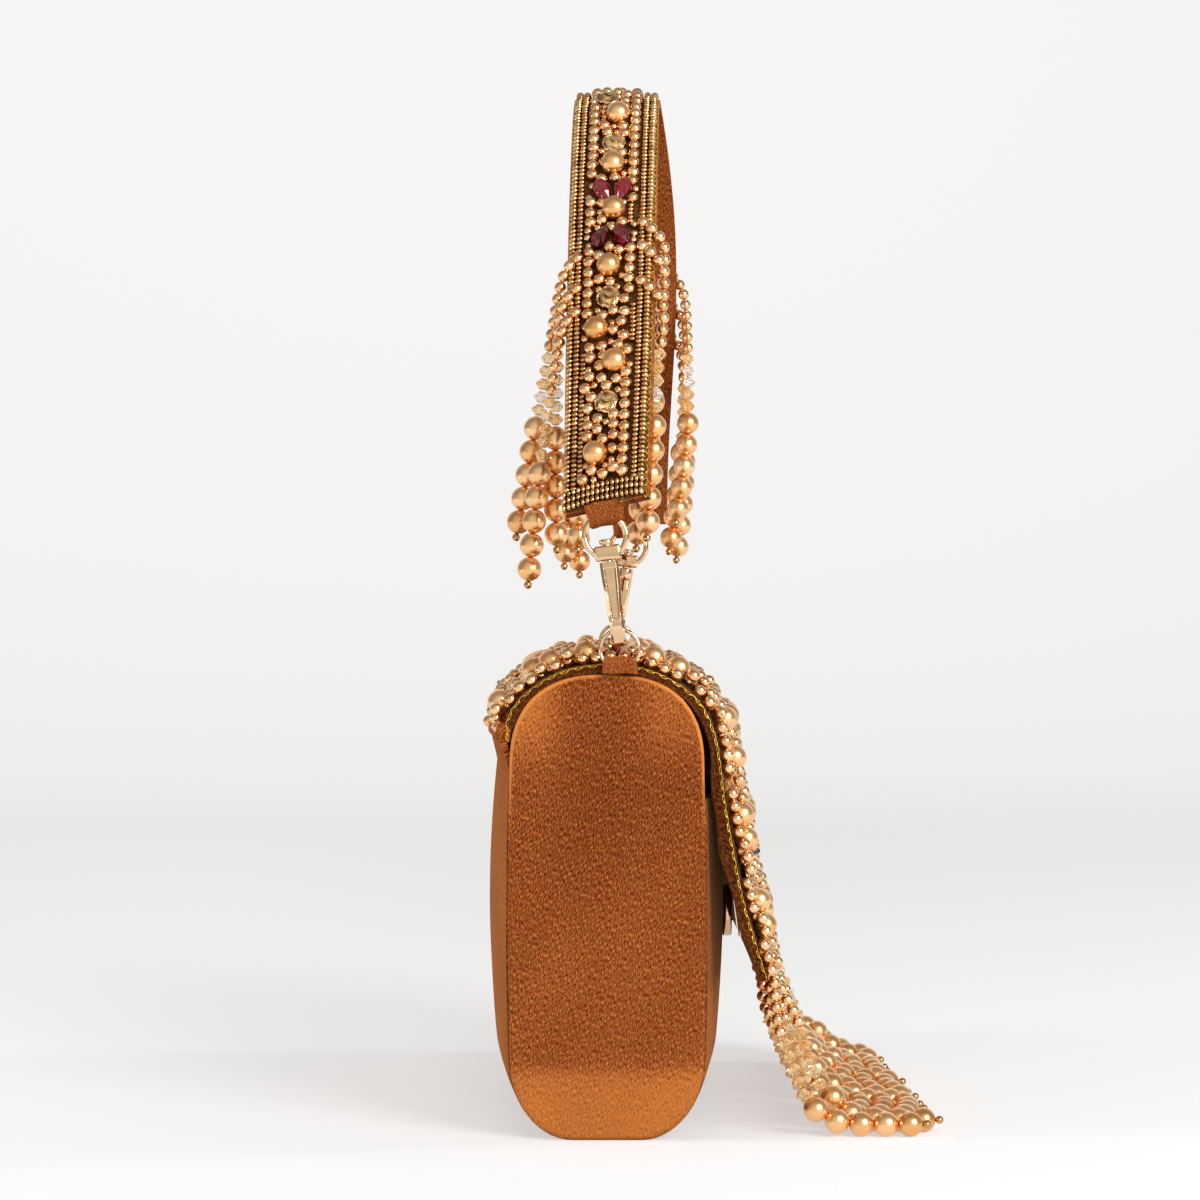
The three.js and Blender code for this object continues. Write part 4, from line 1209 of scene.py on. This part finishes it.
def hookArm(route):
    startPiece()
    bpy.ops.mesh.primitive_grid_add(x_subdivisions=hook["corners"], y_subdivisions=hook["steps"], size=2)
    bar = bpy.context.object
    # Painted shade: the corners of the sunk face are darkened through the attribute hole
    paintedCornerShade = bar.data.attributes.new("hole", "FLOAT", "POINT")  # dark in the corners of the sunk face
    for vertex in bar.data.vertices:
        corner = round((vertex.co.x + 1) / 2 * hook["corners"]) % hook["corners"]
        distance = (vertex.co.y + 1) / 2 * route.length
        (x, z), (dx, dz) = route.at(distance), route.heading(distance)
        corners, sunk = hookSection(distance)
        across, out = corners[corner]
        vertex.co = (x + dz * out, across, z - dx * out)
        paintedCornerShade.data[vertex.index].value = 0.85 * sunk if corner in hook["paintedShadeCorners"] else 0
    editMesh(bar, lambda: closeShell(0.01))
    applyModifier(bar, "BEVEL", {"width": 0.12, "segments": 2, "limit_method": "ANGLE"})
    return bar


def setMetal(piece, name, nodes, body, facing, lean):
    piece.data.transform(endFrame(facing, lean))
    evenTone(piece, 0.5)
    smoothShade(piece, 32)
    return settle(piece, name, hardwareGold, nodes, body)


# A satin loop folded over a ring: half round at the fold, which is its own +Z, pinched and creased along it
def satinLoop(half):
    startPiece()
    bpy.ops.mesh.primitive_cube_add(size=2)
    loop = bpy.context.object
    editMesh(loop, lambda: bpy.ops.mesh.subdivide(number_cuts=9))
    for vertex in loop.data.vertices:
        x, y, z = vertex.co
        fold = clamp((z - 0.1) / 0.9)
        rim = clamp((abs(y) - 0.75) / 0.25)
        thick = math.sqrt(max(0, 1 - fold ** 2)) * (1 - 0.5 * rim ** 2) + 0.06
        crease = 0.1 * math.sin(7 * y + 2.2 * z) + 0.06 * math.sin(15 * y - 4 * z)
        vertex.co.x = (x * thick + crease * (1 if x > 0 else -1) * (1 - fold)) * half[0]
        vertex.co.y = y * half[1] * (1 - 0.05 * (z + 1))
        vertex.co.z = (z - 0.08 * rim ** 2 * fold + 0.05 * math.sin(5 * y)) * half[2]
    applyModifier(loop, "SUBSURF", {"levels": 1, "render_levels": 1})
    setCloth(loop, lambda place: (place.z * 1.5 * mm, place.y * 1.5 * mm))
    smoothShade(loop, 70)
    return loop


def setSleeve(piece, name, node, place):
    piece.data.transform(place)
    return settle(piece, name, satin, [node])


for endName, facing in (("Left", -1), ("Right", 1)):
    low = endName.lower()
    hoop = wireRing(ring["radius"], ring["wire"], 0)
    setMetal(hoop, "bagRing" + endName, ["bag_ring_" + low], "root", facing, 0)

    arm = hookArm(hookLine)
    barrel = roundBar(hook["barrel"], hook["barrelBottom"], hook["barrelTop"], 0.5)
    stem = roundBar(hook["stem"], hook["barrelTop"] - 1, hook["stemTop"], 0.1)
    rivet = roundBar(hook["rivet"], hook["stemTop"] - 0.3, hook["rivetTop"], 0.5)
    hookPiece = joinPieces([arm, barrel, stem, rivet])
    setMetal(hookPiece, "snapHook" + endName, ["snap_hook_" + low], "hook_" + low,
             facing, hook["lean"])

    gateHalf = (gate["halfThickness"], gate["halfWidth"], (gate["top"] - gate["bottom"]) / 2)
    leaf = softBlock(gateHalf, (gate["x"], 0, (gate["top"] + gate["bottom"]) / 2), 0.45)
    setMetal(leaf, "hookGate" + endName, ["hook_gate_" + low], "gate_" + low, facing, hook["lean"])

    loop = wireRing(eye["radius"], eye["wire"], eye["height"])
    baseHalf = (eye["halfX"], eye["halfY"], (eye["top"] - eye["bottom"]) / 2)
    base = softBlock(baseHalf, (0, 0, (eye["top"] + eye["bottom"]) / 2), 0.9, 4)
    setMetal(joinPieces([loop, base]), "swivelEye" + endName, ["swivel_eye_" + low], "root",
             facing, hook["lean"])

    tabMiddle = (tab["top"] + tab["bottom"]) / 2 - ring["z"]
    tabHalf = (tab["halfThickness"], tab["halfWidth"], (tab["top"] - tab["bottom"]) / 2)
    setSleeve(satinLoop(tabHalf), "ringTab" + endName, "ring_tab_" + low,
              endFrame(facing, 0) @ Matrix.Translation((0, 0, tabMiddle)))

    # The strap's loop follows the slope of the strap's end, its fold downwards
    eyeY = ring["y"] - facing * eye["height"] * math.sin(hook["lean"])
    loopTop = strap["end"] + 1.5
    loopMiddle = Vector((facing * ring["x"], eyeY, (loopTop + strapLoop["bottom"]) / 2))
    loopHalf = (strapLoop["halfThickness"], strapLoop["halfWidth"], (loopTop - strapLoop["bottom"]) / 2)
    front = strapAxes(0 if facing < 0 else strapLine.length)[2]
    slope = math.atan2(front.z, -front.y)
    turn = Matrix.Rotation(-slope, 4, "X") @ Matrix.Rotation(math.pi, 4, "X")
    setSleeve(satinLoop(loopHalf), "strapLoop" + endName, "strap_loop_" + low,
              Matrix.Scale(mm, 4) @ Matrix.Translation(loopMiddle) @ turn)
print("metal made")

# Magnetic snap on the front wall and the lining
snap = {"radius": 9, "height": 63.5, "socket": 3, "plate": 1.4}
wallFront = -(sideDepth(snap["height"]) + bulgeAt(0, snap["height"]))


def snapDisc(thickness, name, node, middle, facing):
    disc = roundBar(snap["radius"], -thickness / 2, thickness / 2, 0.5)
    disc.data.transform(Matrix.Scale(mm, 4) @ Matrix.Translation(middle) @
                        Vector((0, 0, 1)).rotation_difference(facing).to_matrix().to_4x4())
    evenTone(disc, 0.5)
    smoothShade(disc, 32)
    return settle(disc, name, hardwareGold, [node])


socketMiddle = Vector((0, wallFront - bag["gap"] - snap["socket"] / 2, snap["height"]))
snapDisc(snap["socket"], "snapSocket", "snap_socket", socketMiddle, Vector((0, -1, 0)))
plateAlong = max(s for s in np.arange(0, flapLine.length, 0.2) if flapPoint(0, s).z > snap["height"])
plateOut = flapNormal(0, plateAlong)
plateDepth = flap["thickness"] + flap["lining"] + 2 * bag["gap"] + snap["plate"] / 2
snapDisc(snap["plate"], "snapPlate", "snap_plate", flapPoint(0, plateAlong) - plateOut * plateDepth, plateOut)
print("snap made")

# The strap backing's cut size in metres; the values are not used
strapBackingFlat[0] * mm
strapBackingFlat[1] * mm

# Stage: a pale floor that curves up into a wall behind
stage = {"halfDepth": 3.0, "wallX": 2.6, "fold": 1.2, "wallTop": 3.0}
startPiece()
bpy.ops.mesh.primitive_grid_add(x_subdivisions=60, y_subdivisions=2, size=2)
floor = bpy.context.object
stageLine = Route([(-4, 0), (stage["wallX"] - stage["fold"], 0)] +
                  [(stage["wallX"] - stage["fold"] * (1 - math.sin(a)), stage["fold"] * (1 - math.cos(a)))
                   for a in np.linspace(0.05, math.pi / 2, 24)] + [(stage["wallX"], stage["wallTop"])])
for vertex in floor.data.vertices:
    x, z = stageLine.at((vertex.co.x + 1) / 2 * stageLine.length)
    vertex.co = (x, vertex.co.y * stage["halfDepth"], z)
smoothShade(floor, 60)
floor.name = "floor"
paper = Finish("palePaper", {"Roughness": 0.9, "Base Color": (0.42, 0.42, 0.42, 1), "Specular IOR Level": 0.0,
                             "Emission Strength": 1.0})
spot = paper.node("ShaderNodeTexCoord", {}, {}, 3)
run = paper.node("ShaderNodeSeparateXYZ", {}, {0: spot})
side = paper.node("ShaderNodeSeparateXYZ", {}, {0: spot}, 1)
away = paper.node("ShaderNodeMapRange", {"interpolation_type": "SMOOTHSTEP"},
                  {"Value": run, "From Min": 0.2, "From Max": 1.9})
left = paper.node("ShaderNodeMapRange", {"interpolation_type": "SMOOTHSTEP"},
                  {"Value": side, "From Min": -0.05, "From Max": 0.3})
floor.data.materials.append(paper.feed({"Emission Color": away * 0.11 + left * (1 - away) * 0.05 + 0.48}))
floor.visible_diffuse = False

# Camera at the photographed end
shot = {"distance": 1.1, "side": 0.0022, "height": 0.1717, "lens": 94.5, "sensor": 36}
startPiece()
bpy.ops.object.camera_add(location=(-shot["distance"], shot["side"], shot["height"]),
                          rotation=(math.pi / 2, 0, -math.pi / 2))
camera = bpy.context.object
camera.data.lens = shot["lens"]
camera.data.sensor_width = shot["sensor"]
bpy.context.scene.camera = camera

# Soft studio light: a dim room that is bright right behind the camera, and large soft boxes
lamps = {                      # place, size, power in watts, whether beads mirror it, all aimed at the bag
    "keyLamp": ((-1.0, -0.75, 0.6), 0.6, 15, True),
    "frontLamp": ((-1.35, -0.1, 0.75), 0.45, 2, False),
    "topLamp": ((-0.35, 0.1, 1.5), 0.7, 2.5, False),
    "backLamp": ((-0.35, 1.7, 0.3), 0.5, 24, False),
    "sideLamp": ((0.2, -1.5, 0.36), 0.14, 12, False),
}
aim = Vector((0, 0, 0.15))
for name, (place, size, power, mirrored) in lamps.items():
    bpy.ops.object.light_add(type="AREA", location=place)
    lamp = bpy.context.object
    lamp.name = name
    lamp.data.shape = "SQUARE"
    lamp.data.size = size
    lamp.data.energy = power
    lamp.visible_glossy = mirrored
    lamp.rotation_euler = (aim - Vector(place)).to_track_quat("-Z", "Y").to_euler()

world = bpy.data.worlds.new("studioRoom")
bpy.context.scene.world = world
world.use_nodes = True
nodes = world.node_tree.nodes
direction = nodes.new("ShaderNodeTexCoord")
axes = nodes.new("ShaderNodeSeparateXYZ")
shade = nodes.new("ShaderNodeValToRGB")
world.node_tree.links.new(direction.outputs["Generated"], axes.inputs[0])
spread = nodes.new("ShaderNodeMapRange")
spread.inputs["From Min"].default_value = -1
world.node_tree.links.new(axes.outputs[0], spread.inputs["Value"])
world.node_tree.links.new(spread.outputs[0], shade.inputs[0])
shade.color_ramp.elements.new(0.4).color = (0.26, 0.25, 0.24, 1)
shade.color_ramp.elements[0].position = 0.02
shade.color_ramp.elements[0].color = (0.9, 0.86, 0.8, 1)
shade.color_ramp.elements[2].position = 0.85
shade.color_ramp.elements[2].color = (0.4, 0.4, 0.4, 1)
world.node_tree.links.new(shade.outputs[0], nodes["Background"].inputs[0])
rise = nodes.new("ShaderNodeMapRange")        # a little dimmer below the floor
for name, value in (("From Min", -0.5), ("From Max", 0.3), ("To Min", 0.75), ("To Max", 0.95)):
    rise.inputs[name].default_value = value
world.node_tree.links.new(axes.outputs[2], rise.inputs["Value"])
world.node_tree.links.new(rise.outputs[0], nodes["Background"].inputs[1])
bpy.context.scene.view_settings.view_transform = "Standard"
